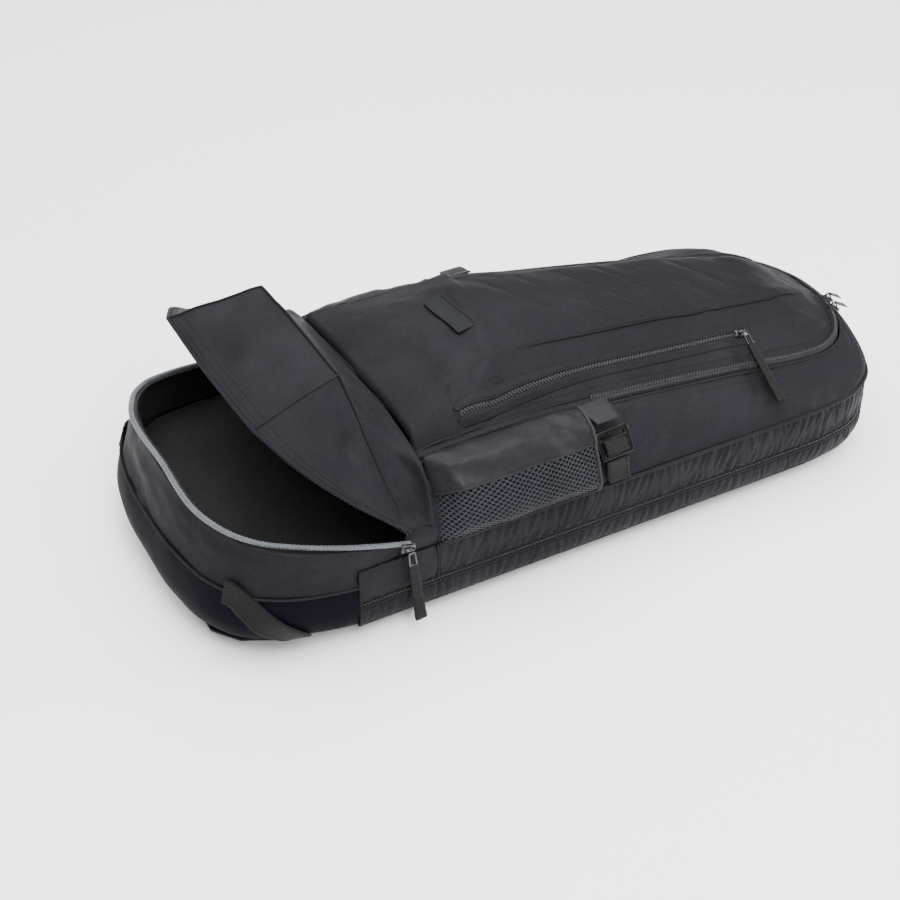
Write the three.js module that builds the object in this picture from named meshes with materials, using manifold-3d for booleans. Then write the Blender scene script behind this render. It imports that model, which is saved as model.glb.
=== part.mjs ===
// Racket tournament backpack lying on its back with its shoe compartment open.
// Millimetres, +Z up. +X runs from the boot end to the grab-handle end and -Y is the near side.
// The origin is on the ground, on the bag's centre line, under the middle back pad.
import * as THREE from "three";
import { mergeVertices } from "three/addons/utils/BufferGeometryUtils.js";
import Module from "manifold-3d";

const wasm = await Module();
wasm.setup();

// ---------------------------------------------------------------- driving dimensions
const HALF_WIDTH = 168;
const PAD_Z = 10; // thickness of the back pads
const PANEL_Z = 16; // top of the stiff back panel
const ZIP_Z = 42; // bottom of the racket compartment's zip
const ZIP_WIDTH = 3.4;
const SEAM_Z = 82; // piped seam above the racket compartment
const SKIN = 4; // padded cloth wall
const GAP = 0.4; // clearance kept between touching pieces

const ZIP_START_X = -235; // where the racket zip begins
const CREASE_X = -158; // fold between shoe hood and main compartment
const LID_X = 22; // where the main lid bends
const LID_END_X = 375;
const AXIS_X = -182; // the hood swings about a line across the bag through its zip's two ends
const AXIS_Z = 94;
const RIM_ANGLE = THREE.MathUtils.degToRad(12); // the shoe mouth climbs this steeply
const HOOD_ANGLE = THREE.MathUtils.degToRad(43); // the hood's zipped edge as modelled
const FOLD_ANGLE = THREE.MathUtils.degToRad(80); // the fold behind the hood
const HOOD_LIFT = 9.5; // room for the two zip edges between hood and rim

// Outlines are [half width, value] pairs from the side of the bag in to its centre line.
const RIM = [[168, 6], [165, 35], [159, 70], [149, 105], [134, 137], [116, 154], [96, 164], [0, 170]];
const HOOD_EDGE = [[168, 14], [167, 38], [163, 80], [153, 116], [136, 140], [118, 152], [98, 163], [0, 168]];
const FOLD = [[166, 14], [156, 24], [144, 40], [132, 60], [119, 79], [100, 108], [81, 137], [0, 141]];
const CREASE = [[163, 104], [162, 114], [159, 128], [152, 143], [140, 157], [116, 167], [80, 172], [0, 173]];
// Ground outline of the boot: [half width, x].
const BOOT = [
  [164, -190], [164, -225], [163, -262], [156, -302],
  [139, -335], [108, -357], [66, -368], [0, -371],
];
// Seam and main zip stations: [seam x, seam y, zip x, zip y, zip z].
const STATIONS = [
  [-156, 165, -156, 125, 153],
  [-60, 165, -60, 124, 155],
  [22, 165, 22, 124, 150],
  [130, 165, 130, 118, 134],
  [222, 165, 222, 113, 118],
  [281, 163, 281, 108, 106],
  [318, 155, 320, 101, 100],
  [346, 137, 348, 86, 98],
  [364, 108, 368, 62, 98],
  [375, 66, 379, 32, 99],
  [379, 0, 382, 0, 100],
];
// Ridge either side of the front: [x, half width, ridge z, centre z].
const RIDGE = [
  [-150, 108, 170, 174],
  [-76, 84, 186, 193],
  [-38, 75, 195, 203],
  [LID_X, 69, 184, 190],
  [84, 63, 173, 178],
  [212, 57, 154, 157],
  [300, 44, 134, 138],
  [340, 34, 120, 122],
  [LID_END_X, 14, 103, 104],
];

// ---------------------------------------------------------------- small helpers
const V = (x, y, z) => new THREE.Vector3(x, y, z);
const steps = (a, b, n) => Array.from({ length: n + 1 }, (_, i) => a + ((b - a) * i) / n);

// Straight-line interpolation in rows of [x, ...values].
function lookUp(rows, x) {
  const i = Math.min(Math.max(rows.findIndex((row) => row[0] >= x), 1), rows.length - 1);
  const [a, b] = [rows[i - 1], rows[i]];
  const t = (x - a[0]) / (b[0] - a[0]);
  return a.map((value, k) => value + (b[k] - value) * t);
}

// A half outline given from side to centre becomes the whole one, near side first.
const mirrored = (half) => [...half.map(([y, ...rest]) => [-y, ...rest]), ...half.slice(0, -1).reverse()];

function signedVolume(points, index) {
  let sum = 0;
  for (let i = 0; i < index.length; i += 3) {
    const [a, b, c] = [points[index[i]], points[index[i + 1]], points[index[i + 2]]];
    sum += a.dot(b.clone().cross(c)) / 6;
  }
  return sum;
}

function closedGeometry(points, index) {
  if (signedVolume(points, index) < 0) {
    for (let i = 0; i < index.length; i += 3) [index[i + 1], index[i + 2]] = [index[i + 2], index[i + 1]];
  }
  const geometry = new THREE.BufferGeometry().setFromPoints(points);
  geometry.setIndex(index);
  return geometry;
}

// A slab between two grids of points, stitched round its border.
function slab(outer, inner) {
  const rows = outer.length;
  const columns = outer[0].length;
  const points = [...outer.flat(), ...inner.flat()];
  const at = (side, i, j) => side * rows * columns + i * columns + j;
  const index = [];
  const quad = (a, b, c, d) => index.push(a, b, c, a, c, d);
  for (let i = 0; i < rows - 1; i++) {
    for (let j = 0; j < columns - 1; j++) {
      quad(at(0, i, j), at(0, i, j + 1), at(0, i + 1, j + 1), at(0, i + 1, j));
      quad(at(1, i, j), at(1, i + 1, j), at(1, i + 1, j + 1), at(1, i, j + 1));
    }
    quad(at(0, i, 0), at(0, i + 1, 0), at(1, i + 1, 0), at(1, i, 0));
    quad(at(0, i + 1, columns - 1), at(0, i, columns - 1), at(1, i, columns - 1), at(1, i + 1, columns - 1));
  }
  for (let j = 0; j < columns - 1; j++) {
    quad(at(0, 0, j + 1), at(0, 0, j), at(1, 0, j), at(1, 0, j + 1));
    quad(at(0, rows - 1, j), at(0, rows - 1, j + 1), at(1, rows - 1, j + 1), at(1, rows - 1, j));
  }
  return closedGeometry(points, index);
}

// A grid moved along its own normals, away from `inside`.
function offsetGrid(grid, distance, inside) {
  const rows = grid.length;
  const columns = grid[0].length;
  return grid.map((row, i) =>
    row.map((point, j) => {
      const du = grid[Math.min(i + 1, rows - 1)][j].clone().sub(grid[Math.max(i - 1, 0)][j]);
      const dv = row[Math.min(j + 1, columns - 1)].clone().sub(row[Math.max(j - 1, 0)]);
      const normal = du.cross(dv).normalize();
      if (normal.dot(point.clone().sub(inside)) < 0) normal.negate();
      return point.clone().addScaledVector(normal, distance);
    }),
  );
}

// An extrusion of a plan shape from z0 to z1.
function plate(shape, z0, z1) {
  const options = { depth: z1 - z0, bevelEnabled: false, curveSegments: 6 };
  const geometry = new THREE.ExtrudeGeometry(shape, options);
  return geometry.translate(0, 0, z0);
}
const planShape = (points) => new THREE.Shape(points.map((p) => new THREE.Vector2(p.x, p.y)));

// A plate standing across the bag: section is [y, z] pairs, x its boot-side face.
function uprightPlate(section, x, thickness) {
  const shape = new THREE.Shape(section.map(([y, z]) => new THREE.Vector2(y, z)));
  const geometry = new THREE.ExtrudeGeometry(shape, { depth: thickness, bevelEnabled: false });
  return geometry.applyMatrix4(new THREE.Matrix4().set(0, 0, 1, x, 1, 0, 0, 0, 0, 1, 0, 0, 0, 0, 0, 1));
}

// A tube of round section along a list of points.
function tube(points, radius, count = points.length * 2) {
  const section = new THREE.Shape().absarc(0, 0, radius, 0, Math.PI * 2);
  const extrudePath = new THREE.CatmullRomCurve3(points, false, "centripetal");
  const options = { steps: count, bevelEnabled: false, extrudePath, curveSegments: 3 };
  return new THREE.ExtrudeGeometry(section, options);
}

// A flat band along stations of [centre, direction across, direction out of the face].
function band(stations, width, thickness) {
  const grid = (lift) =>
    stations.map(([centre, across, out]) =>
      [-0.5, 0.5].map((side) =>
        centre.clone().addScaledVector(across, side * width).addScaledVector(out, lift),
      ),
    );
  return slab(grid(thickness), grid(0));
}

function solidOf(geometry) {
  const bare = geometry.clone();
  bare.deleteAttribute("normal");
  bare.deleteAttribute("uv");
  const merged = mergeVertices(bare, 1e-3);
  return new wasm.Manifold(
    new wasm.Mesh({
      numProp: 3,
      vertProperties: merged.attributes.position.array,
      triVerts: new Uint32Array(merged.index.array),
    }),
  );
}

function geometryOf(solid) {
  const mesh = solid.getMesh();
  const geometry = new THREE.BufferGeometry();
  geometry.setAttribute("position", new THREE.BufferAttribute(new Float32Array(mesh.vertProperties), 3));
  geometry.setIndex(new THREE.BufferAttribute(new Uint32Array(mesh.triVerts), 1));
  return geometry;
}

const cut = (geometry, ...tools) =>
  geometryOf(tools.reduce((solid, tool) => solid.subtract(solidOf(tool)), solidOf(geometry)));

// ---------------------------------------------------------------- materials
const cloth = (color, roughness = 0.85) => new THREE.MeshStandardMaterial({ color, roughness, metalness: 0 });
const shellCloth = cloth(0x35343a);
const bootCloth = cloth(0x24222c, 0.6);
const liningCloth = cloth(0x1b1b1e);
const meshCloth = cloth(0x2c2d34);
const padFoam = cloth(0x232327);
const webbing = cloth(0x17171a);
const pipingCloth = cloth(0x8a919a);
const zipCoil = cloth(0x1d1e20, 0.5);
const buckleNylon = cloth(0x121214, 0.4);
const badgeRubber = cloth(0x14171a, 0.6);
const sliderMetal = new THREE.MeshStandardMaterial({ color: 0x9a9a9c, roughness: 0.3, metalness: 1 });

const bag = new THREE.Group();
function add(name, geometry, material) {
  const mesh = new THREE.Mesh(geometry, material);
  mesh.name = name;
  bag.add(mesh);
}

// ---------------------------------------------------------------- ring round the handle end
// Whole ring of stations, near side first. Each is {x, y, zx, zy, zz, nx, ny}: seam, zip, way out.
function handleRing(x0, x1 = Infinity) {
  const straight = STATIONS.filter(([x]) => x > x0 && x <= x1);
  const first = [x0, 165, x0, ...lookUp(STATIONS, Math.max(x0, CREASE_X)).slice(3)];
  const half = [first, ...straight].map(([x, y, zx, zy, zz]) => [y, x, zx, zy, zz]);
  const ring = mirrored(half).map(([y, x, zx, zipY, zz]) => {
    const zy = Math.sign(y) * Math.abs(zipY);
    return { x, y, zx, zy, zz };
  });
  return ring.map((p, i) => {
    const a = ring[Math.max(i - 1, 0)];
    const b = ring[Math.min(i + 1, ring.length - 1)];
    const length = Math.hypot(b.x - a.x, b.y - a.y);
    const end = i === 0 || i === ring.length - 1;
    return { ...p, nx: end ? 0 : (b.y - a.y) / length, ny: end ? Math.sign(p.y) : -(b.x - a.x) / length };
  });
}

// A wall on that ring. Each row is a function giving the outer point of a station.
function ringWall(ring, rows, thickness) {
  const outer = rows.map((row) => ring.map((p) => row(p)));
  const moved = (q, p) => V(q.x - p.nx * thickness, q.y - p.ny * thickness, q.z);
  const inner = outer.map((row) => row.map((q, i) => moved(q, ring[i])));
  return slab(outer, inner);
}
const seamRow = (inset, z) => (p) => V(p.x - p.nx * inset, p.y - p.ny * inset, z);
const riseRow = (share, bulge) => (p) =>
  V(
    p.x + (p.zx - p.x) * share + p.nx * bulge,
    p.y + (p.zy - p.y) * share + p.ny * bulge,
    SEAM_Z + GAP + (p.zz - SEAM_Z - GAP) * share,
  );

// ---------------------------------------------------------------- back panel and pads
const baseRing = handleRing(-189);
const bootBase = mirrored(BOOT).map(([y, x]) => V(x, y, 0)).reverse();
const shrink = (p, d) => V(p.x - Math.sign(p.x) * d, p.y - Math.sign(p.y) * d, 0);
const baseOutline = [
  ...baseRing.map((p) => V(p.x - p.nx * 6, p.y - p.ny * 6, 0)),
  ...bootBase.map((p) => shrink(p, 14)),
];
add("back_panel", plate(planShape(baseOutline), PAD_Z + GAP, PANEL_Z), padFoam);

function padShape(x0, x1, halfWidth, radius) {
  const shape = new THREE.Shape();
  shape.absarc(x1 - radius, -halfWidth + radius, radius, -Math.PI / 2, 0);
  shape.absarc(x1 - radius, halfWidth - radius, radius, 0, Math.PI / 2);
  shape.absarc(x0 + radius, halfWidth - radius, radius, Math.PI / 2, Math.PI);
  shape.absarc(x0 + radius, -halfWidth + radius, radius, Math.PI, Math.PI * 1.5);
  return shape;
}
const PADS = [["upper_back_pad", 30, 215], ["middle_back_pad", -110, 20], ["lumbar_pad", -250, -120]];
for (const [name, x0, x1] of PADS)
  add(name, plate(padShape(x0, x1, 72, 24), 0, PAD_Z), padFoam);

// ---------------------------------------------------------------- racket compartment
const lowRing = handleRing(ZIP_START_X);
const lowRows = [seamRow(5, PANEL_Z + GAP), seamRow(-1, 28), seamRow(-1, ZIP_Z - GAP)];
add("lower_gusset", ringWall(lowRing, lowRows, SKIN), shellCloth);
add("racket_zip", ringWall(lowRing, [seamRow(-1, ZIP_Z), seamRow(-1, ZIP_Z + ZIP_WIDTH)], SKIN), zipCoil);

// Corner panels carry the seam on from the main compartment to the boot.
for (const side of [-1, 1]) {
  const row = (inset) =>
    [ZIP_Z + ZIP_WIDTH + GAP, 62, SEAM_Z].map((z) =>
      steps(ZIP_START_X, CREASE_X - 1, 2).map((x) => V(x, side * (HALF_WIDTH - 2 - inset), z)),
    );
  add("corner_panel_" + (side < 0 ? "near" : "far"), slab(row(0), row(SKIN)), shellCloth);
}

// ---------------------------------------------------------------- boot and shoe compartment
// A point at a distance from the hood's axis, at an angle measured up from level, boot side.
const polar = (distance, angle, y, lift = 0) =>
  V(
    AXIS_X - distance * Math.cos(angle) + lift * Math.sin(angle),
    y,
    AXIS_Z + distance * Math.sin(angle) + lift * Math.cos(angle),
  );
const rimPoint = ([y, r], inset = 0) =>
  polar(Math.max(r - inset, 1), RIM_ANGLE, y * (1 - inset / HALF_WIDTH));

const TUCK = 13; // the boot's lower edge is rounded under by this much
const end = (x) => Math.min(1, (-x - 190) / 120);

// The boot's wall from the ground (share 0) to the rim (share 1), its end bellying out low down.
function bootRow(share, inset) {
  const rim = mirrored(RIM);
  return mirrored(BOOT).map(([y, x], i) => {
    const tuck = TUCK * Math.max(0, 1 - share / 0.25) ** 2;
    const low = V(x + (inset + tuck) * end(x), y * (1 - (inset + tuck * end(x)) / HALF_WIDTH), PANEL_Z + GAP);
    const high = rimPoint(rim[i], inset);
    const belly = Math.sin(Math.PI * Math.min(share * 1.5, 1)) * 4;
    const lean = share * share;
    return V(
      low.x + (high.x - low.x) * lean - belly * end(x),
      (low.y + (high.y - low.y) * lean) * (1 + belly / HALF_WIDTH),
      low.z + (high.z - low.z) * share,
    );
  });
}
const BOOT_TOP = 0.56; // the coated boot stops here and the collar goes on to the rim
const bootRows = (shares, inset) => shares.map((share) => bootRow(share, inset));
const LOW_SHARES = [0, 0.08, 0.25, 0.42, BOOT_TOP];
const COLLAR_SHARES = [BOOT_TOP + 0.006, 0.78, 1];
const cornerTrim = new THREE.BoxGeometry(240, 400, 200);
cornerTrim.translate(ZIP_START_X + 120 - GAP, 0, SEAM_Z - 100 + GAP);
add("boot_shell", cut(slab(bootRows(LOW_SHARES, 0), bootRows(LOW_SHARES, SKIN)), cornerTrim), bootCloth);
const collar = slab(bootRows(COLLAR_SHARES, 0), bootRows(COLLAR_SHARES, SKIN));
add("shoe_collar", cut(collar, cornerTrim), shellCloth);

const PIPING_RADIUS = 2.4;
const pipingPath = mirrored(RIM).map(([y, r]) => polar(r - 1, RIM_ANGLE, y, PIPING_RADIUS + GAP));
add("rim_piping", tube(pipingPath, PIPING_RADIUS, 40), pipingCloth);

const REAR_WALL_X = CREASE_X - 8;
const SHOE_FLOOR_Z = 74;
const floorShare = (SHOE_FLOOR_Z - PANEL_Z - GAP) / (AXIS_Z - PANEL_Z - GAP);
const floorRing = mirrored(BOOT).map(([y, x], i) => {
  const p = bootRow(Math.min(floorShare, 0.74), SKIN + 4)[i];
  return V(Math.min(p.x, -200), Math.sign(y) * Math.min(Math.abs(p.y), 158), 0);
});
const floorOutline = [V(REAR_WALL_X, -158, 0), ...floorRing, V(REAR_WALL_X, 158, 0)];
add("shoe_floor", plate(planShape(floorOutline), SHOE_FLOOR_Z - 4, SHOE_FLOOR_Z), liningCloth);

const rearHalf = [[150, SHOE_FLOOR_Z + GAP], [150, 112], [136, 136], [112, 148], [70, 155], [0, 156]];
const rearSection = mirrored(rearHalf);
add("shoe_rear_wall", uprightPlate(rearSection, REAR_WALL_X, 3), liningCloth);

// ---------------------------------------------------------------- shoe hood
const hoodEdge = mirrored(HOOD_EDGE);
const fold = mirrored(FOLD);
function hoodGrid(inset) {
  const scale = 1 - inset / HALF_WIDTH;
  const edge = hoodEdge.map(([y, r]) => polar(Math.max(r - inset, 1), HOOD_ANGLE, y * scale, HOOD_LIFT));
  const back = fold.map(([y, r]) => polar(Math.max(r - inset, 1), FOLD_ANGLE, y * scale, -2));
  return steps(0, 1, 3).map((share) => edge.map((p, i) => p.clone().lerp(back[i], share)));
}
add("shoe_hood", slab(hoodGrid(0), hoodGrid(3)), shellCloth);
const zipEdgePath = hoodEdge.map(([y, r]) => polar(r - 2, HOOD_ANGLE, y * 0.985, HOOD_LIFT - 2.4));
add("hood_zip_edge", tube(zipEdgePath, 1.8, 40), zipCoil);

// The pleat: loose cloth from behind the fold down to the crease.
function pleatGrid(inset) {
  const scale = 1 - inset / HALF_WIDTH;
  const top = fold.map(([y, r]) => polar(Math.max(r - inset, 20), FOLD_ANGLE, y * scale, 1));
  const crease = mirrored(CREASE).map(([y, z]) => V(CREASE_X - 3, y * scale, z - inset));
  return steps(0, 1, 2).map((share) => top.map((p, i) => p.clone().lerp(crease[i], share)));
}
add("hood_pleat", slab(pleatGrid(0), pleatGrid(3)), shellCloth);

// ---------------------------------------------------------------- main compartment
const BODY_X = CREASE_X + 2;
const bodyRing = handleRing(BODY_X);
const gussetRows = [seamRow(-1, ZIP_Z + ZIP_WIDTH + GAP), seamRow(-1, 64), seamRow(0, SEAM_Z)];
add("upper_gusset", ringWall(bodyRing, gussetRows, SKIN), shellCloth);
const dividerOutline = bodyRing.map((p) => V(p.x - p.nx * (SKIN + 2), p.y - p.ny * (SKIN + 2), 0));
add("racket_divider", plate(planShape(dividerOutline), SEAM_Z - 6, SEAM_Z - 2), liningCloth);
const TOP_SHARE = 0.94; // the zip sits on the side wall's top edge
const sideRows = [riseRow(0, 0), riseRow(0.33, 5), riseRow(0.66, 5), riseRow(TOP_SHARE, 0)];
add("side_wall", ringWall(bodyRing, sideRows, SKIN), shellCloth);

const frontSection = [[150, SEAM_Z + 1], [140, 113], [116, 138], [100, 154], [60, 164], [0, 166]];
add("front_wall", uprightPlate(mirrored(frontSection), BODY_X + GAP, 3), liningCloth);

// One arched section of the front, from the near main zip over both ridges to the far one.
const LID_INSET = 5.6; // from the main zip's line to the lid's edge
const lidEdge = bodyRing
  .filter((p) => p.y <= 0)
  .map((p) => [p.zx - p.nx * LID_INSET, -p.zy + p.ny * LID_INSET, p.zz]);
function halfArch(x) {
  const zip = lookUp(lidEdge, x);
  const [, halfWidth, ridgeZ, centreZ] = lookUp(RIDGE, x);
  const edge = Math.max(zip[1], halfWidth + 4);
  const middle = (edge + halfWidth) / 2;
  const shoulderZ = (zip[2] + ridgeZ) / 2 + 2;
  return [
    [edge, zip[2] + 1],
    [middle, shoulderZ],
    [halfWidth, ridgeZ],
    [halfWidth / 2, centreZ],
    [0, centreZ],
  ];
}
function arch(x, drop = 0) {
  const scale = 1 - drop / HALF_WIDTH;
  return mirrored(halfArch(x)).map(([y, z]) => V(x, y * scale, z - drop));
}
const archZ = (x, y) => lookUp([...halfArch(x)].reverse(), Math.abs(y))[1];
const archShell = (xs) => slab(xs.map((x) => arch(x)), xs.map((x) => arch(x, SKIN)));
add("front_lower_panel", archShell([-150, -112, -76, -38, -8, LID_X - 2]), shellCloth);
const LID_XS = [LID_X + 2, 84, 130, 170, 212, 256, 281, 300, 318, 336, 350, 362, 370, LID_END_X];
add("main_lid", archShell(LID_XS), shellCloth);

// The main zip follows the side wall's top edge.
const zipRing = handleRing(LID_X + 2);
const ZIP_INSET = 2.6;
const zipLine = zipRing.map((p) => [
  V(p.zx - p.nx * ZIP_INSET, p.zy - p.ny * ZIP_INSET, p.zz - 0.6),
  V(p.nx, p.ny, 0),
  V(0, 0, 1),
]);
add("main_zip", band(zipLine, 3.6, 1.6), zipCoil);

// ---------------------------------------------------------------- front pocket and badge
// A padded panel between the ridges, in two parts that bend where the lid bends.
function pocketPanel(xs) {
  const rows = (lift) =>
    xs.map((x) => {
      const width = lookUp(RIDGE, x)[1] - 3;
      return steps(-1, 1, 4).map((share) => V(x, share * width, archZ(x, share * width) + lift));
    });
  return slab(rows(GAP + 2.4), rows(GAP));
}
add("front_pocket_panel", pocketPanel([LID_X + 5, 84, 130, 170, 212, 256, 300]), shellCloth);
add("front_pocket_foot", pocketPanel([-20, LID_X - 5]), shellCloth);

// The pocket's zip runs along the near slope.
const POCKET_ZIP = [[-104, 107], [3, 99], [74, 93], [146, 88], [230, 82]];
function onPocketZip(x, lift) {
  const y = -lookUp(POCKET_ZIP, x)[1];
  const slope = V(0, 2, archZ(x, y + 1) - archZ(x, y - 1)).normalize();
  const out = V(1, 0, 0).cross(slope).normalize();
  return [V(x, y, archZ(x, y)).addScaledVector(out, lift), slope, out];
}
const pocketZip = (xs) => band(xs.map((x) => onPocketZip(x, GAP + 0.6)), 9, 1.4);
add("pocket_zip_upper", pocketZip([LID_X + 5, 84, 146, 212, 230]), zipCoil);
add("pocket_zip_lower", pocketZip([-104, -76, -38, -8, LID_X - 5]), zipCoil);

const badge = new THREE.BoxGeometry(21, 66, 2);
badge.rotateY(THREE.MathUtils.degToRad(-10)).translate(-55, 0, 203.2);
add("badge", badge, badgeRubber);

// ---------------------------------------------------------------- side pockets and their straps
const POCKET_BOOT_X = -152;
const POCKET_MOUTH_X = 6;
const POCKET_BULGE = [[-152, 5], [-130, 17], [-90, 24], [-40, 22], [6, 15]];
// A point on the side wall, share of the way up, standing off by lift.
function onSide(side, x, share, lift) {
  const [, y, , zipY, zipZ] = lookUp(STATIONS, x);
  const out = V(0, zipZ - SEAM_Z, y - zipY).normalize();
  const at = V(x, y + (zipY - y) * share, SEAM_Z + (zipZ - SEAM_Z) * share).addScaledVector(out, lift);
  return at.setY(at.y * side);
}
function pocketSkin(side, from, to) {
  const xs = [POCKET_BOOT_X, -130, -90, -40, POCKET_MOUTH_X];
  const rows = (depth) =>
    xs.map((x) =>
      steps(from, to, 3).map((share) => {
        const full = side < 0 ? 1 : 0.42; // the far pocket lies flat
        const rise = Math.sin(Math.PI * (0.12 + 0.7 * share)) ** 0.7;
        const bulge = 5.6 + full * lookUp(POCKET_BULGE, x)[1] * rise;
        return onSide(side, x, share, bulge - depth);
      }),
    );
  return slab(rows(0), rows(2.2));
}
const STRAP_X = 27;
const LOCK_LENGTH = 27;
function lockShape() {
  const shape = new THREE.Shape();
  const shoulder = LOCK_LENGTH - 4;
  const outline = [[-17, 0], [17, 0], [19, shoulder], [15, LOCK_LENGTH], [-15, LOCK_LENGTH], [-19, shoulder]];
  outline.forEach(([x, y], i) => (i ? shape.lineTo(x, y) : shape.moveTo(x, y)));
  for (const y of [3.5, 11, 18.5]) {
    const slot = new THREE.Path();
    slot.moveTo(-13, y);
    slot.lineTo(-13, y + 4.5);
    slot.lineTo(13, y + 4.5);
    slot.lineTo(13, y);
    shape.holes.push(slot);
  }
  return shape;
}
for (const side of [-1, 1]) {
  const tag = side < 0 ? "_near" : "_far";
  add("side_pocket_mesh" + tag, pocketSkin(side, 0.02, 0.54), meshCloth);
  add("side_pocket_cloth" + tag, pocketSkin(side, 0.55, 0.92), shellCloth);
  const strapAt = (x, share, lift) => {
    const out = V(0, side * 0.85, 0.5).normalize();
    return [onSide(side, x, share, lift), V(1, 0, 0), out];
  };
  const tab = [strapAt(STRAP_X - 4, 0.95, 4), strapAt(STRAP_X - 2, 0.86, 12), strapAt(STRAP_X, 0.77, 19)];
  add("strap_tab" + tag, band(tab, 26, 2), webbing);
  const lower = [
    strapAt(STRAP_X + 2, 0.3, 17),
    strapAt(STRAP_X + 3, 0.14, 8),
    strapAt(STRAP_X + 4, 0.03, 6.4),
  ];
  add("buckle_webbing" + tag, band(lower, 24, 2), webbing);
  const foot = lower[0][0].clone().add(V(0, side * 1, 3));
  const up = tab[2][0].clone().add(V(0, side * 1, -3)).sub(foot).normalize();
  const out = V(1, 0, 0).cross(up).multiplyScalar(side).normalize();
  const lockFrame = new THREE.Matrix4().makeBasis(up.clone().cross(out), up, out).setPosition(foot);
  const lock = new THREE.ExtrudeGeometry(lockShape(), { depth: 4, bevelEnabled: false });
  add("ladder_lock" + tag, lock.applyMatrix4(lockFrame), buckleNylon);
}

// ---------------------------------------------------------------- straps and grab handle
const STRAP_Z = 0.4;
const STRAP_THICKNESS = 8;
function groundStrap(side, stations) {
  const half = stations.map(([x, y, width]) => [x, y * side, width / 2]);
  const one = half.map(([x, y, w]) => V(x, y - w, 0));
  const other = half.map(([x, y, w]) => V(x, y + w, 0)).reverse();
  return plate(planShape([...one, ...other]), STRAP_Z, STRAP_Z + STRAP_THICKNESS);
}
const SHOULDER = [
  [248, 84, 44], [200, 104, 56], [120, 112, 62],
  [0, 114, 62], [-100, 114, 54], [-150, 118, 36],
];
for (const side of [-1, 1]) {
  const tag = side < 0 ? "_near" : "_far";
  add("shoulder_strap" + tag, groundStrap(side, SHOULDER), webbing);
  const stations = [
    [V(-347, side * 131, 88), 0.5],
    [V(-321, side * 157, 54), 0.9],
    [V(-300, side * 166, 30), 1],
  ].map(([at, turn]) => [at, V(0.55, 0, 0.6).normalize(), V(turn - 1, side * (0.4 + turn), 0).normalize()]);
  add("lower_strap" + tag, band(stations, 24, 1.6), webbing);
}

const HANDLE_WIDTH = 20;
const HANDLE = [[104, 30, 4], [88, 44, 6.5], [62, 62, 9], [30, 72, 9], [0, 75, 9]]; // [y, z, stand-off]
const handleStations = mirrored(HANDLE).map(([y, z, lift]) => {
  const half = STATIONS.map(([x, seamY]) => [-seamY, x]);
  const x = lookUp(half, -Math.abs(y))[1];
  const out = V(1, (0.75 * y) / 104, 0).normalize();
  return [V(x, y, z).addScaledVector(out, lift), V(0, 0, 1), out];
});
add("grab_handle", band(handleStations, HANDLE_WIDTH, 2.2), webbing);

// ---------------------------------------------------------------- zip sliders and their pulls
// A slider body with its bridge: x along the zip, z out of it.
function sliderGeometry() {
  const body = new THREE.BoxGeometry(13, 9, 2.4).translate(0, 0, 1.2);
  const bridge = new THREE.BoxGeometry(9, 2.4, 3.6).translate(0, 0, 4);
  const eye = new THREE.BoxGeometry(5, 4, 2).translate(0, 0, 3.4);
  return geometryOf(solidOf(body).add(solidOf(bridge)).subtract(solidOf(eye)));
}
// The pull lies along +y from its pivot, flat in its own xy plane.
const PULL_LINK = 15;
const PULL_TAB = 64;
function frameShape(outline, inset) {
  const shape = new THREE.Shape(outline.map(([x, y]) => new THREE.Vector2(x, y)));
  const middle = (outline[0][1] + outline[2][1]) / 2;
  const inwards = ([x, y]) =>
    new THREE.Vector2(x - Math.sign(x) * inset, y + Math.sign(middle - y) * inset);
  const hole = outline.map(inwards);
  shape.holes.push(new THREE.Path(hole.reverse()));
  return shape;
}
const linkOutline = [[-3.6, 0], [3.6, 0], [4.2, PULL_LINK], [-4.2, PULL_LINK]];
function pullLink() {
  const link = new THREE.ExtrudeGeometry(frameShape(linkOutline, 1.7), { depth: 1.5, bevelEnabled: false });
  return link.translate(0, 0, -0.75);
}
const PULL_END = PULL_LINK + PULL_TAB;
const tabOutline = [[-5, PULL_LINK + GAP], [5, PULL_LINK + GAP], [5.5, PULL_END], [-5.5, PULL_END]];
function pullTab() {
  const shape = new THREE.Shape(tabOutline.map(([x, y]) => new THREE.Vector2(x, y)));
  return new THREE.ExtrudeGeometry(shape, { depth: 2.6, bevelEnabled: false }).translate(0, 0, -1.3);
}
const PIVOT_LIFT = 7.1;
function zipSlider(name, place, alongZip, out, hang, withTab) {
  const frame = new THREE.Matrix4().makeBasis(alongZip, out.clone().cross(alongZip), out).setPosition(place);
  add(name + "_slider", sliderGeometry().applyMatrix4(frame), sliderMetal);
  const down = hang.clone().normalize();
  const face = out.clone().addScaledVector(down, -out.dot(down)).normalize();
  const pivot = place.clone().addScaledVector(out, PIVOT_LIFT).addScaledVector(down, 1);
  const pullFrame = new THREE.Matrix4().makeBasis(down.clone().cross(face), down, face).setPosition(pivot);
  add(name + "_pull_link", pullLink().applyMatrix4(pullFrame), sliderMetal);
  if (withTab) add(name + "_pull_tab", pullTab().applyMatrix4(pullFrame), webbing);
}

// Pocket zip: closed, slider at the handle end, tab lying down the slope.
const [pocketPlace, , pocketOut] = onPocketZip(222, GAP + 3.8);
const pocketAlong = onPocketZip(222, 0)[0].sub(onPocketZip(60, 0)[0]).normalize();
const pocketNormal = pocketOut.clone().addScaledVector(pocketAlong, -pocketOut.dot(pocketAlong)).normalize();
zipSlider("pocket_zip", pocketPlace, pocketAlong, pocketNormal, V(0, -0.82, -0.5), true);

// Shoe zip: run right down to the axis on the near side, tab hanging.
const shoeAlong = V(-Math.cos(RIM_ANGLE), 0, Math.sin(RIM_ANGLE));
zipSlider("shoe_zip", V(-190, -171, 97), shoeAlong, V(0, -1, 0), V(0.1, -0.02, -1), true);

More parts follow.
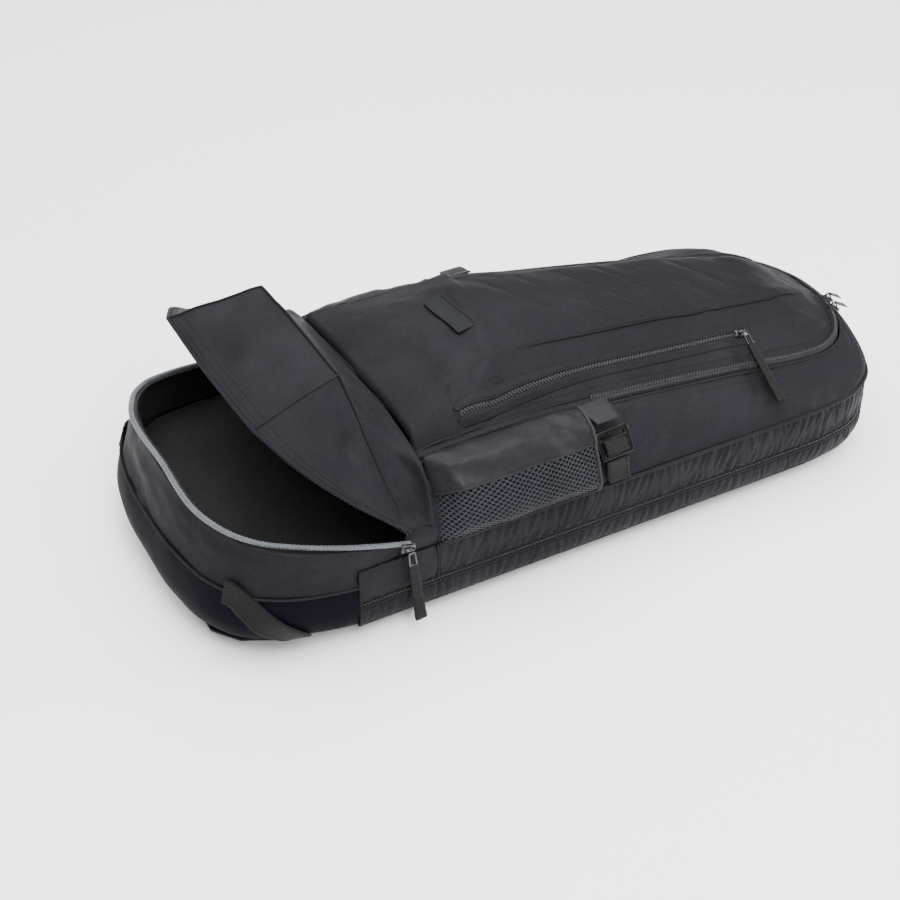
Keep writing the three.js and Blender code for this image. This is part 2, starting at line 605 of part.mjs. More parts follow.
// Main zip: two sliders meeting at the handle end.
const MAIN_SLIDERS = [["main_zip_first", -47], ["main_zip_second", -30]];
for (const [name, y] of MAIN_SLIDERS) {
  const x = lookUp(STATIONS.filter((row) => row[0] > 300).map(([, , zx, zy]) => [-zy, zx]), y)[1];
  const place = V(x + 1.6, y, lookUp(lidEdge, 370)[2] + 2); // far enough out for the lid's end to pass
  zipSlider(name, place, V(0, 1, 0), V(0.26, 0, 0.966), V(1, 0, -0.55), false);
}

// Racket zip: closed, its slider at the boot end of the far side.
zipSlider("racket_zip", V(-224, 166.6, ZIP_Z + ZIP_WIDTH / 2), V(1, 0, 0), V(0, 1, 0), V(0, 0.02, -1), false);

export default bag;
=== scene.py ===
import math

import bmesh
import bpy
import numpy as np
from mathutils import Matrix, Vector


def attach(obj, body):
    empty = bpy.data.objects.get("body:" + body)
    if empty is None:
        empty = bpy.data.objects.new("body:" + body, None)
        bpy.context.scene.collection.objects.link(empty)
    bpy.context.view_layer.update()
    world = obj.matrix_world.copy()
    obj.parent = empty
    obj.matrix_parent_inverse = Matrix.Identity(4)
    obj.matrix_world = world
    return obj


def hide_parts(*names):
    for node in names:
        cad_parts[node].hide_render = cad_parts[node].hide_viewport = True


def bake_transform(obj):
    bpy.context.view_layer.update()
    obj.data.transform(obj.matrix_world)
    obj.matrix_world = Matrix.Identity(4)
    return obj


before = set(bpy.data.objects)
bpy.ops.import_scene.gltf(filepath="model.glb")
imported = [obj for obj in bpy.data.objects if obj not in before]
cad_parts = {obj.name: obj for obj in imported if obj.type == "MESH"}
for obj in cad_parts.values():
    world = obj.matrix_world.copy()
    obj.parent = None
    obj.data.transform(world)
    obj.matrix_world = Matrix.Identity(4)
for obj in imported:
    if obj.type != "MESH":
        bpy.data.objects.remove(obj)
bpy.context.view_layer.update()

# Back pads: three foam pads covered in spacer mesh, sewn to the stiffened back panel. The bag lies on
# them, so they carry its weight and are pressed flat underneath.
MM = 0.001
PAD_THICK = 9.0
PAD_HALF_WIDTH = 71
PAD_LENGTHS = {"upper_back_pad": (31, 214), "middle_back_pad": (-109, 19), "lumbar_pad": (-249, -121)}


def rumple(points, grain, seed=0):
    """Smooth unevenness from -1 to 1 over points, with lumps of the given grain in mm."""
    p = np.asarray(points, float) / np.asarray(grain, float) + seed * 17.31 + 1000
    cell = np.floor(p).astype(np.int64)
    f = p - cell
    f = f * f * (3 - 2 * f)
    total = 0.0
    for dx in (0, 1):
        for dy in (0, 1):
            for dz in (0, 1):
                n = (cell[..., 0] + dx) * 374761393 + (cell[..., 1] + dy) * 668265263
                n = n + (cell[..., 2] + dz) * 1442695041
                n = (n ^ (n >> 13)) * 1274126177
                n = ((n ^ (n >> 16)) & 0xFFFF) / 32767.5 - 1
                share = np.where(dx, f[..., 0], 1 - f[..., 0]) * np.where(dy, f[..., 1], 1 - f[..., 1])
                total = total + n * share * np.where(dz, f[..., 2], 1 - f[..., 2])
    return total


def weave_group():
    """Crossed threads with slubs: tone and height over the cloth, for every woven finish."""
    tree = bpy.data.node_groups.new("weave", "ShaderNodeTree")
    side = tree.interface.new_socket
    side(name="Place", in_out="INPUT", socket_type="NodeSocketVector")
    side(name="Threads", in_out="INPUT", socket_type="NodeSocketFloat").default_value = 1200.0
    side(name="Twill", in_out="INPUT", socket_type="NodeSocketFloat").default_value = 0.6
    side(name="Tone", in_out="OUTPUT", socket_type="NodeSocketFloat")
    side(name="Height", in_out="OUTPUT", socket_type="NodeSocketFloat")
    nodes, link = tree.nodes, tree.links.new
    start, stop = nodes.new("NodeGroupInput"), nodes.new("NodeGroupOutput")

    def maths(operation, a, b=None):
        node = nodes.new("ShaderNodeMath")
        node.operation = operation
        for socket, value in zip(node.inputs, (a, b)):
            if value is None:
                continue
            if isinstance(value, (int, float)):
                socket.default_value = value
            else:
                link(value, socket)
        return node.outputs[0]

    split = nodes.new("ShaderNodeSeparateXYZ")
    link(start.outputs["Place"], split.inputs[0])
    across = maths("MULTIPLY", split.outputs[0], start.outputs["Threads"])
    along = maths("MULTIPLY", split.outputs[1], start.outputs["Threads"])
    crossed = maths("MULTIPLY", maths("SINE", across), maths("SINE", along))
    diagonal = maths("SINE", maths("ADD", across, along))
    twilled = maths("MULTIPLY", diagonal, start.outputs["Twill"])
    height = maths("ADD", crossed, twilled)
    slub = nodes.new("ShaderNodeTexNoise")
    slub.inputs["Scale"].default_value = 260.0
    slub.inputs["Detail"].default_value = 3.0
    link(start.outputs["Place"], slub.inputs["Vector"])
    link(maths("ADD", height, slub.outputs["Fac"]), stop.inputs["Height"])
    link(maths("ADD", maths("MULTIPLY", height, 0.16), slub.outputs["Fac"]), stop.inputs["Tone"])
    return tree


def handling_group():
    """Soft marks of use: broad lighter rubs as one mask, and a small crumple noise for the cloth's bump."""
    tree = bpy.data.node_groups.new("handling marks", "ShaderNodeTree")
    side = tree.interface.new_socket
    side(name="Place", in_out="INPUT", socket_type="NodeSocketVector")
    side(name="Rub Size", in_out="INPUT", socket_type="NodeSocketFloat").default_value = 9.0
    side(name="Rubbed", in_out="OUTPUT", socket_type="NodeSocketFloat")
    side(name="Crumple", in_out="OUTPUT", socket_type="NodeSocketFloat")
    nodes, link = tree.nodes, tree.links.new
    start, stop = nodes.new("NodeGroupInput"), nodes.new("NodeGroupOutput")
    broad = nodes.new("ShaderNodeTexNoise")
    broad.inputs["Detail"].default_value = 4.0
    broad.inputs["Roughness"].default_value = 0.6
    link(start.outputs["Place"], broad.inputs["Vector"])
    link(start.outputs["Rub Size"], broad.inputs["Scale"])
    fade = nodes.new("ShaderNodeMapRange")
    fade.inputs["From Min"].default_value = 0.42
    fade.inputs["From Max"].default_value = 0.72
    link(broad.outputs["Fac"], fade.inputs["Value"])
    link(fade.outputs["Result"], stop.inputs["Rubbed"])
    small = nodes.new("ShaderNodeTexNoise")
    small.inputs["Scale"].default_value = 55.0
    small.inputs["Detail"].default_value = 5.0
    small.inputs["Roughness"].default_value = 0.55
    small.inputs["Distortion"].default_value = 0.6
    link(start.outputs["Place"], small.inputs["Vector"])
    link(small.outputs["Fac"], stop.inputs["Crumple"])
    return tree


WEAVE = weave_group()
HANDLING = handling_group()


def woven(name, dark, light, roughness, threads, bump=0.12, sheen=0.25, crumple=0.35, by_uv=True, twill=0.6,
          sheen_tint=(1, 1, 1), specular=0.5):
    """A woven finish: thread tone and height, use marks, and a soft fibre sheen."""
    material = bpy.data.materials.new(name)
    material.use_nodes = True
    tree = material.node_tree
    shader = tree.nodes["Principled BSDF"]
    link = tree.links.new
    shader.inputs["Sheen Weight"].default_value = sheen
    shader.inputs["Sheen Roughness"].default_value = 0.45
    shader.inputs["Sheen Tint"].default_value = (*sheen_tint, 1)
    shader.inputs["Specular IOR Level"].default_value = specular
    where = tree.nodes.new("ShaderNodeTexCoord")
    place = where.outputs["UV"] if by_uv else where.outputs["Object"]
    weave = tree.nodes.new("ShaderNodeGroup")
    weave.node_tree = WEAVE
    weave.inputs["Threads"].default_value = threads
    weave.inputs["Twill"].default_value = twill
    link(place, weave.inputs["Place"])
    marks = tree.nodes.new("ShaderNodeGroup")
    marks.node_tree = HANDLING
    link(where.outputs["Object"], marks.inputs["Place"])
    tone = tree.nodes.new("ShaderNodeMapRange")
    tone.inputs["From Min"].default_value = 0.1
    tone.inputs["From Max"].default_value = 0.95
    link(weave.outputs["Tone"], tone.inputs["Value"])
    threads_mix = tree.nodes.new("ShaderNodeMix")
    threads_mix.data_type = "RGBA"
    threads_mix.inputs["A"].default_value = (*dark, 1)
    threads_mix.inputs["B"].default_value = (*light, 1)
    link(tone.outputs["Result"], threads_mix.inputs["Factor"])
    rub = tree.nodes.new("ShaderNodeMix")
    rub.data_type = "RGBA"
    rub.blend_type = "ADD"
    rub.inputs["B"].default_value = tuple(c * 0.32 for c in light) + (1,)
    link(threads_mix.outputs["Result"], rub.inputs["A"])
    link(marks.outputs["Rubbed"], rub.inputs["Factor"])
    link(rub.outputs["Result"], shader.inputs["Base Color"])
    rough = tree.nodes.new("ShaderNodeMapRange")
    rough.inputs["To Min"].default_value = roughness + 0.05
    rough.inputs["To Max"].default_value = roughness - 0.07
    link(marks.outputs["Rubbed"], rough.inputs["Value"])
    link(rough.outputs["Result"], shader.inputs["Roughness"])
    fine = tree.nodes.new("ShaderNodeBump")
    fine.inputs["Strength"].default_value = bump
    fine.inputs["Distance"].default_value = 0.0006
    link(weave.outputs["Height"], fine.inputs["Height"])
    creased = tree.nodes.new("ShaderNodeBump")
    creased.inputs["Strength"].default_value = crumple
    creased.inputs["Distance"].default_value = 0.004
    link(marks.outputs["Crumple"], creased.inputs["Height"])
    link(creased.outputs["Normal"], fine.inputs["Normal"])
    link(fine.outputs["Normal"], shader.inputs["Normal"])
    return material


def finished(bm, name, *materials):
    """Turns a bmesh into a smooth-shaded object with its materials."""
    mesh = bpy.data.meshes.new(name)
    bm.to_mesh(mesh)
    bm.free()
    for face in mesh.polygons:
        face.use_smooth = True
    for material in materials:
        mesh.materials.append(material)
    piece = bpy.data.objects.new(name, mesh)
    bpy.context.scene.collection.objects.link(piece)
    return piece


def puffed(piece, voxel, pressure, cap):
    """Fills a closed cover with foam pressure: remeshed, blown up as cloth, and held to the cap."""
    bpy.context.view_layer.objects.active = piece
    remesh = piece.modifiers.new("even cloth", "REMESH")
    remesh.mode = "VOXEL"
    remesh.voxel_size = voxel
    bpy.ops.object.modifier_apply(modifier=remesh.name)
    start = np.array([v.co for v in piece.data.vertices])
    cloth = piece.modifiers.new("stuffing", "CLOTH")
    cloth.settings.use_pressure = True
    cloth.settings.uniform_pressure_force = pressure
    cloth.settings.effector_weights.gravity = 0
    for step in range(1, 13):
        bpy.context.scene.frame_set(step)
    bpy.context.view_layer.update()
    bpy.ops.object.modifier_apply(modifier=cloth.name)
    moved = np.array([v.co for v in piece.data.vertices]) - start
    far = np.linalg.norm(moved, axis=1, keepdims=True)
    held = start + moved * np.minimum(1, cap / np.maximum(far, 1e-9))
    piece.data.vertices.foreach_set("co", held.ravel())
    bpy.context.scene.frame_set(1)
    smooth = piece.modifiers.new("soft", "SUBSURF")
    smooth.levels = smooth.render_levels = 1
    for face in piece.data.polygons:
        face.use_smooth = True
    return piece


PAD_MESH = woven("pad mesh", (0.004, 0.004, 0.005), (0.014, 0.014, 0.016), 0.8, 2600, 0.5, 0.1, by_uv=False,
                 specular=0.3)


def foam_pad(name, x0, x1, half_width, low, high):
    """A rounded block with pulled-in edges, ready to be filled."""
    bm = bmesh.new()
    place = Matrix.Translation(Vector(((x0 + x1) / 2, 0, (low + high) / 2)) * MM)
    size = Matrix.Diagonal(Vector(((x1 - x0), half_width * 2, high - low, 1000)) * MM)
    bmesh.ops.create_cube(bm, size=1, matrix=place @ size)
    upright = [e for e in bm.edges if abs(e.verts[0].co.z - e.verts[1].co.z) > 0.001]
    bmesh.ops.bevel(bm, geom=upright, offset=0.024, segments=6, profile=0.5, affect="EDGES", material=-1)
    rims = [e for e in bm.edges if abs(e.verts[0].co.z - e.verts[1].co.z) < 1e-6 and len(e.link_faces) == 2
            and abs(e.link_faces[0].normal.z - e.link_faces[1].normal.z) > 0.5]
    bmesh.ops.bevel(bm, geom=rims, offset=0.0026, segments=2, profile=0.5, affect="EDGES", material=-1)
    return finished(bm, name, PAD_MESH)


for pad_name, (x0, x1) in PAD_LENGTHS.items():
    pad = foam_pad(pad_name + "_cover", x0 + 2, x1 - 2, PAD_HALF_WIDTH - 2, 0.9, PAD_THICK)
    puffed(pad, 0.004, 1.5, 0.0012)
    floor_at_zero = np.array([v.co for v in pad.data.vertices])
    floor_at_zero[:, 2] = np.clip(floor_at_zero[:, 2], 0.0003, 0.0101)
    pad.data.vertices.foreach_set("co", floor_at_zero.ravel())
    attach(pad, "back_shell")
    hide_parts(pad_name)

# Back panel: a foam and board stiffener wrapped in cloth, cut to the bag's outline. The gussets are sewn
# round its edge and the pads to its outer face.
ZIP_BOTTOM, ZIP_TOP, SEAM_HEIGHT = 42.0, 45.4, 82.0
STATIONS = [
    (-156, 165, -156, 125, 153), (-60, 165, -60, 124, 155), (22, 165, 22, 124, 150),
    (130, 165, 130, 118, 134), (222, 165, 222, 113, 118), (281, 163, 281, 108, 106),
    (318, 155, 320, 101, 100), (346, 137, 348, 86, 98), (364, 108, 368, 62, 98),
    (375, 66, 379, 32, 99), (379, 0, 382, 0, 100),
]
BOOT = [(164, -190), (164, -225), (163, -262), (156, -302), (139, -335), (108, -357), (66, -368), (0, -371)]


def looked_up(rows, x):
    """Straight-line values between rows that start with a distance."""
    rows = sorted(rows)
    at = [row[0] for row in rows]
    return [float(np.interp(x, at, [row[k] for row in rows])) for k in range(1, len(rows[0]))]


def mirrored(half):
    """A half outline from the side in becomes the whole one, near side first."""
    half = [list(row) for row in half]
    return [[-row[0], *row[1:]] for row in half] + half[-2::-1]


def through(net, step, corners=()):
    """Smooth rows through the rows of a net, about a step apart; corners stay sharp."""
    net = np.asarray(net, float)
    gaps = np.linalg.norm(np.diff(net, axis=0), axis=-1).reshape(len(net) - 1, -1).mean(1)
    gaps = np.maximum(gaps, 1e-6)
    slopes = np.diff(net, axis=0) / gaps.reshape(-1, *[1] * (net.ndim - 1))
    leave, arrive = [slopes[0]], []
    for i in range(1, len(net) - 1):
        before, after = gaps[i - 1], gaps[i]
        middle = (slopes[i - 1] * after + slopes[i] * before) / (before + after)
        arrive.append(slopes[i - 1] if i in corners else middle)
        leave.append(slopes[i] if i in corners else middle)
    arrive.append(slopes[-1])
    rows = [net[0]]
    for i, gap in enumerate(gaps):
        count = max(1, int(round(gap / step)))
        for k in range(1, count + 1):
            t = k / count
            rows.append((2 * t**3 - 3 * t**2 + 1) * net[i] + (t**3 - 2 * t**2 + t) * gap * leave[i]
                        + (3 * t**2 - 2 * t**3) * net[i + 1] + (t**3 - t**2) * gap * arrive[i])
    return np.array(rows)


def both_ways(net, step, corners=(), row_corners=()):
    """Smooth a net of points down its rows and along its columns."""
    down = through(net, step, row_corners)
    return np.swapaxes(through(np.swapaxes(down, 0, 1), step, corners), 0, 1)


def facing(cloth):
    """Unit normals of a grid of points."""
    du = np.gradient(cloth, axis=1)
    dv = np.gradient(cloth, axis=0)
    n = np.cross(du, dv)
    return n / np.maximum(np.linalg.norm(n, axis=-1, keepdims=True), 1e-9)


def measured(cloth):
    """Distances in mm along the columns and down the rows of a grid."""
    u = np.linalg.norm(np.diff(cloth, axis=1), axis=-1)
    v = np.linalg.norm(np.diff(cloth, axis=0), axis=-1)
    u = np.concatenate([np.zeros((len(cloth), 1)), np.cumsum(u, axis=1)], axis=1)
    v = np.concatenate([np.zeros((1, cloth.shape[1])), np.cumsum(v, axis=0)], axis=0)
    return u, v


def outward(cloth, inside):
    """Normals of a grid turned away from a point inside the bag."""
    n = facing(cloth)
    if np.sum(n * (cloth - np.asarray(inside, float))) < 0:
        n = -n
    return n


def cut_and_laid(name, cloth, thickness, materials, inside=(40, 0, 90)):
    """A piece of cloth cut as a flat grid, laid over its form and given its thickness inwards."""
    rows, columns = cloth.shape[:2]
    bm = bmesh.new()
    bmesh.ops.create_grid(bm, x_segments=columns - 1, y_segments=rows - 1, size=0.5)
    if len(bm.verts) != rows * columns:
        bm.clear()
        bmesh.ops.create_grid(bm, x_segments=columns, y_segments=rows, size=0.5)
    u, v = measured(cloth)
    chart = bm.loops.layers.uv.new("cloth")
    for vert in bm.verts:
        j = int(round((vert.co.x + 0.5) * (columns - 1)))
        i = int(round((vert.co.y + 0.5) * (rows - 1)))
        vert.co = Vector(cloth[i, j]) * MM
        for loop in vert.link_loops:
            loop[chart].uv = (u[i, j] * MM, v[i, j] * MM)
    bm.normal_update()
    lean = sum((f.normal.dot(f.calc_center_median() - Vector(inside) * MM) * f.calc_area() for f in bm.faces))
    if lean < 0:
        bmesh.ops.reverse_faces(bm, faces=bm.faces)
    piece = finished(bm, name, *materials)
    if thickness:
        wall = piece.modifiers.new("cloth thickness", "SOLIDIFY")
        wall.thickness = thickness * MM
        wall.offset = -1
        wall.use_rim = True
        wall.material_offset = 1 if len(materials) > 1 else 0
        wall.material_offset_rim = 0
    return piece


def handle_ring(x0, step=2.6):
    """Fine stations round the handle end: seam x, y, zip x, y, z and the way out x, y."""
    first = [x0, 165, x0, *looked_up([(s[0], s[3], s[4]) for s in STATIONS], max(x0, -156))]
    half = [first] + [list(row) for row in STATIONS if row[0] > x0]
    ring = mirrored([[y, x, zx, zy, zz] for x, y, zx, zy, zz in half])
    ring = np.array([[x, y, zx, math.copysign(abs(zy), y) if y else 0.0, zz] for y, x, zx, zy, zz in ring])
    fine = through(ring, step * 1.6)
    along = np.gradient(fine[:, :2], axis=0)
    along /= np.linalg.norm(along, axis=1, keepdims=True)
    return np.column_stack([fine, along[:, 1], -along[:, 0]])


def ring_wall(ring, rows, step=2.6):
    """A wall on the ring from (distance out, height) rows."""
    net = np.array([np.column_stack([ring[:, 0] + ring[:, 5] * out, ring[:, 1] + ring[:, 6] * out,
                                     np.full(len(ring), z)]) for out, z in rows])
    return through(net, step)


SHELL = woven("shell twill", (0.0042, 0.0039, 0.0056), (0.0090, 0.0084, 0.0114), 0.56, 2600, 0.10, 0.012,
              crumple=0.14, sheen_tint=(0.93, 0.93, 1.0), specular=0.07)
LINING = woven("lining", (0.002, 0.002, 0.0023), (0.005, 0.005, 0.006), 0.75, 2200, 0.15, 0.03, specular=0.2)

base = handle_ring(-235, 6)
near_edge = base[base[:, 1] < 0]
outline_x = np.concatenate([[row[1] for row in BOOT[::-1]], near_edge[1:-1, 0]])
outline_y = np.concatenate([[max(row[0] - 14, 1) for row in BOOT[::-1]], -near_edge[1:-1, 1] - 6])
panel_x = np.linspace(-352, 371, 120)
panel_y = np.interp(panel_x, outline_x, outline_y)
panel = np.array([[(x, y * t, 13.4) for t in np.linspace(-1, 1, 48)] for x, y in zip(panel_x, panel_y)])
panel[..., 2] += 0.4 * rumple(panel, 60, 3)
back_panel = cut_and_laid("back_panel_cover", panel, 2.6, [SHELL], inside=(0, 0, 80))
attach(back_panel, "back_shell")
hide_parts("back_panel")

# Racket compartment: two gusset strips of shell cloth with a coil zip sewn between them. The thread pulls
# the long strips short, so they pucker along the zip and along the piped seam above.
INSIDE = (60, 0, 90)
FINE_STEP = 0.9


def puckers(u, v, seams, depth, seed):
    """Short gathers across a gusset. Each seam is its sewn edge's depth and the reach of its gathers."""
    dice = np.random.default_rng(seed)
    lift = np.zeros_like(u)
    for sewn_at, reach in seams:
        at = 0.0
        while at < u.max():
            at += dice.uniform(4.5, 12.5)
            length = reach * dice.uniform(0.5, 1.25)
            middle = at + dice.uniform(-0.15, 0.55) * (v - sewn_at)
            fade = np.exp(-((v - sewn_at) / length) ** 2)
            near = np.abs(u - middle) < 9
            across = np.where(near, (u - middle) / dice.uniform(1.3, 2.5), 9)
            lift += depth * dice.uniform(0.5, 1.1) * fade * (0.35 * np.exp(-(np.abs(across) - 2.1) ** 2)
                                                             - np.exp(-across ** 2))
    place = np.stack([u, v * 0.4, np.zeros_like(u)], axis=-1)
    return lift + depth * 0.4 * rumple(place, (24, 30, 1), seed)


low_ring = handle_ring(-234.6)
low_rows = [(-7, 16.7), (-2, 18.2), (0.6, 24), (1.6, 32), (1.2, 38), (-0.6, 41.5)]
low_wall = ring_wall(handle_ring(-234.6, FINE_STEP), low_rows, 2)
u, v = measured(low_wall)
low_puckers = puckers(u, v, ((v.max(), 17), (3, 6)), 1.5, 5)
low_wall = low_wall + outward(low_wall, INSIDE) * low_puckers[..., None]
lower_gusset = cut_and_laid("lower_gusset_cloth", low_wall, 2.2, [SHELL, LINING], INSIDE)
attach(lower_gusset, "back_shell")
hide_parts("lower_gusset")

body_ring = handle_ring(-156)
high_rows = [(-0.6, 45.9), (1.4, 49), (2.2, 60), (1.6, 72), (0, 81.2)]
high_wall = ring_wall(handle_ring(-156, FINE_STEP), high_rows, 2)
u, v = measured(high_wall)
high_puckers = puckers(u, v, ((v.max(), 20), (0, 14)), 1.7, 9)
high_wall = high_wall + outward(high_wall, INSIDE) * high_puckers[..., None]
upper_gusset = cut_and_laid("upper_gusset_cloth", high_wall, 2.2, [SHELL, LINING], INSIDE)
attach(upper_gusset, "main_tub")
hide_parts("upper_gusset")

for side, tag in ((-1, "near"), (1, "far")):
    rows = [[(x, side * (166 + out), z) for x in np.linspace(-234.6, -159, 54)]
            for out, z in ((-0.8, 46), (1.0, 52), (1.4, 64), (0.6, 76), (-0.4, 81.8))]
    corner = through(np.array(rows), 2)
    u, v = measured(corner)
    corner_puckers = puckers(u, v, ((0, 14), (v.max(), 8)), 1.0, 12)
    corner = corner + outward(corner, INSIDE) * corner_puckers[..., None]
    corner_panel = cut_and_laid("corner_panel_cloth_" + tag, corner, 2.2, [SHELL, LINING], INSIDE)
    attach(corner_panel, "back_shell")
    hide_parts("corner_panel_" + tag)


def frames_along(points, outs, pitch):
    """Evenly pitched frames on a line: place, along, across and out."""
    points, outs = np.asarray(points, float), np.asarray(outs, float)
    gaps = np.linalg.norm(np.diff(points, axis=0), axis=1)
    at = np.concatenate([[0], np.cumsum(gaps)])
    marks = np.arange(pitch / 2, at[-1], pitch)
    spots = np.column_stack([np.interp(marks, at, points[:, k]) for k in range(3)])
    out = np.column_stack([np.interp(marks, at, outs[:, k]) for k in range(3)])
    along = np.gradient(spots, axis=0)
    along /= np.linalg.norm(along, axis=1, keepdims=True)
    out -= along * np.sum(out * along, axis=1, keepdims=True)
    out /= np.linalg.norm(out, axis=1, keepdims=True)
    return spots, along, np.cross(out, along), out


def stood_at(spot, along, across, out, size):
    """A matrix that puts a unit shape at a spot with the given size in mm."""
    turn = Matrix((along, across, out)).transposed().to_4x4()
    return Matrix.Translation(Vector(spot) * MM) @ turn @ Matrix.Diagonal((*[s * MM for s in size], 1))


def coil(name, points, outs, width, material, pitch=1.7):
    """Two interlocking rows of coil teeth with the sewn cord between them."""
    bm = bmesh.new()
    spots, along, across, out = frames_along(points, outs, pitch)
    for k, (spot, a, c, o) in enumerate(zip(spots, along, across, out)):
        side = 1 if k % 2 else -1
        bmesh.ops.create_cube(bm, size=1, matrix=stood_at(
            spot + c * side * width * 0.2 + o * 0.25, a, c, o, (pitch * 0.62, width * 0.62, 1.1)))
    return finished(bm, name, material)


def plain(name, colour, roughness, metallic=0.0, grain=900.0, bump=0.08, specular=0.5):
    """A moulded or metal finish with slight grain and worn patches."""
    material = bpy.data.materials.new(name)
    material.use_nodes = True
    tree = material.node_tree
    shader = tree.nodes["Principled BSDF"]
    shader.inputs["Metallic"].default_value = metallic
    shader.inputs["Specular IOR Level"].default_value = specular
    where = tree.nodes.new("ShaderNodeTexCoord")
    marks = tree.nodes.new("ShaderNodeGroup")
    marks.node_tree = HANDLING
    marks.inputs["Rub Size"].default_value = 60.0
    tree.links.new(where.outputs["Object"], marks.inputs["Place"])
    mix = tree.nodes.new("ShaderNodeMix")
    mix.data_type = "RGBA"
    mix.inputs["A"].default_value = (*colour, 1)
    mix.inputs["B"].default_value = (*[min(1, c * 1.5 + 0.001) for c in colour], 1)
    tree.links.new(marks.outputs["Rubbed"], mix.inputs["Factor"])
    tree.links.new(mix.outputs["Result"], shader.inputs["Base Color"])
    rough = tree.nodes.new("ShaderNodeMapRange")
    rough.inputs["To Min"].default_value = roughness
    rough.inputs["To Max"].default_value = roughness + 0.12
    tree.links.new(marks.outputs["Rubbed"], rough.inputs["Value"])
    tree.links.new(rough.outputs["Result"], shader.inputs["Roughness"])
    noise = tree.nodes.new("ShaderNodeTexNoise")
    noise.inputs["Scale"].default_value = grain
    tree.links.new(where.outputs["Object"], noise.inputs["Vector"])
    dents = tree.nodes.new("ShaderNodeBump")
    dents.inputs["Strength"].default_value = bump
    dents.inputs["Distance"].default_value = 0.0004
    tree.links.new(noise.outputs["Fac"], dents.inputs["Height"])
    tree.links.new(dents.outputs["Normal"], shader.inputs["Normal"])
    return material


COIL = plain("zip coil", (0.011, 0.011, 0.013), 0.36, specular=0.4)
THREAD = plain("sewing thread", (0.010, 0.0098, 0.012), 0.6, specular=0.15)
TAPE = woven("zip tape", (0.003, 0.003, 0.0038), (0.009, 0.009, 0.011), 0.7, 2400, 0.3, 0.04, by_uv=False,
             specular=0.3)


def piping(name, points, radius, material, sides=5, ribs=None):
    """A covered cord sewn into a seam, as a round tube along points."""
    curve = bpy.data.curves.new(name, "CURVE")
    curve.dimensions = "3D"
    curve.bevel_depth = radius * MM
    curve.bevel_resolution = sides // 2
    curve.use_fill_caps = True
    line = curve.splines.new("POLY")
    line.points.add(len(points) - 1)
    for k, (spot, point) in enumerate(zip(points, line.points)):
        point.co = (*(np.asarray(spot) * MM), 1)
        point.radius = 1.0 if ribs is None else ribs(k)
    rope = bpy.data.objects.new(name, curve)
    mesh = bpy.data.meshes.new_from_object(rope)
    bpy.data.objects.remove(rope)
    bm = bmesh.new()
    bm.from_mesh(mesh)
    bpy.data.meshes.remove(mesh)
    bmesh.ops.remove_doubles(bm, verts=bm.verts, dist=1e-6)
    bmesh.ops.recalc_face_normals(bm, faces=bm.faces)
    return finished(bm, name, material)


def stitched(name, points, outs, material=None, pitch=3.4, length=2.4):
    """A row of lockstitches lying on the cloth."""
    bm = bmesh.new()
    for spot, a, c, o in zip(*frames_along(points, outs, pitch)):
        bmesh.ops.create_cube(bm, size=1, matrix=stood_at(spot + o * 0.12, a, c, o, (length, 0.5, 0.4)))
    return finished(bm, name, material or THREAD)


def ring_line(ring, out, z):
    """Points and ways out along the ring at one height."""
    level = np.full(len(ring), z)
    points = np.column_stack([ring[:, 0] + ring[:, 5] * out, ring[:, 1] + ring[:, 6] * out, level])
    return points, np.column_stack([ring[:, 5], ring[:, 6], np.zeros(len(ring))])


zip_points, zip_outs = ring_line(low_ring, 0.5, (ZIP_BOTTOM + ZIP_TOP) / 2)
racket_coil = coil("racket_zip_coil", zip_points, zip_outs, 3.0, COIL)
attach(racket_coil, "back_shell")
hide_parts("racket_zip")
tape_rows = ring_wall(low_ring, [(-1.6, 41.2), (-1.4, 43.7), (-1.6, 46.2)])
racket_tape = cut_and_laid("racket_zip_tape", tape_rows, 0.8, [TAPE], INSIDE)
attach(racket_tape, "back_shell")
for name, ring, out, z, body in (("lower_zip_stitching", low_ring, 1.2, 37.2, "back_shell"),
                                 ("lower_zip_hem_stitching", low_ring, 0.4, 40.0, "back_shell"),
                                 ("upper_zip_stitching", body_ring, 1.6, 52.4, "main_tub"),
                                 ("upper_zip_hem_stitching", body_ring, 0.8, 49.4, "main_tub")):
    row = stitched(name, *ring_line(ring, out + 0.6, z))
    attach(row, body)
for name, ring, out, z, radius, body in (("lower_zip_welt", low_ring, 0.9, 40.6, 1.3, "back_shell"),
                                         ("upper_zip_welt", body_ring, -0.5, 47.2, 1.1, "main_tub"),
                                         ("body_seam_piping", body_ring, 1.2, 82.0, 1.9, "main_tub"),
                                         ("base_seam_piping", low_ring, -4.6, 16.6, 1.5, "back_shell")):
    welt = piping(name, ring_line(ring, out, z)[0], radius, SHELL)
    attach(welt, body)

# Shoe compartment: the coated boot under the shoes, its cloth collar, and the ribbed piping that carries the
# zip round the mouth. The boot is stiff coated polyester, sewn to the back panel and belled over its toe.
AXIS_X, AXIS_Z = -182.0, 94.0
RIM_TILT, HOOD_TILT, FOLD_TILT = math.radians(12), math.radians(43), math.radians(80)
RIM = [(168, 6), (165, 35), (159, 70), (149, 105), (134, 137), (116, 154), (96, 164), (0, 170)]


def swung(distance, tilt, y, lift=0.0):
    """A point out from the hood's axis at a tilt above level, lifted square to that line."""
    return (AXIS_X - distance * math.cos(tilt) + lift * math.sin(tilt), y,
            AXIS_Z + distance * math.sin(tilt) + lift * math.cos(tilt))


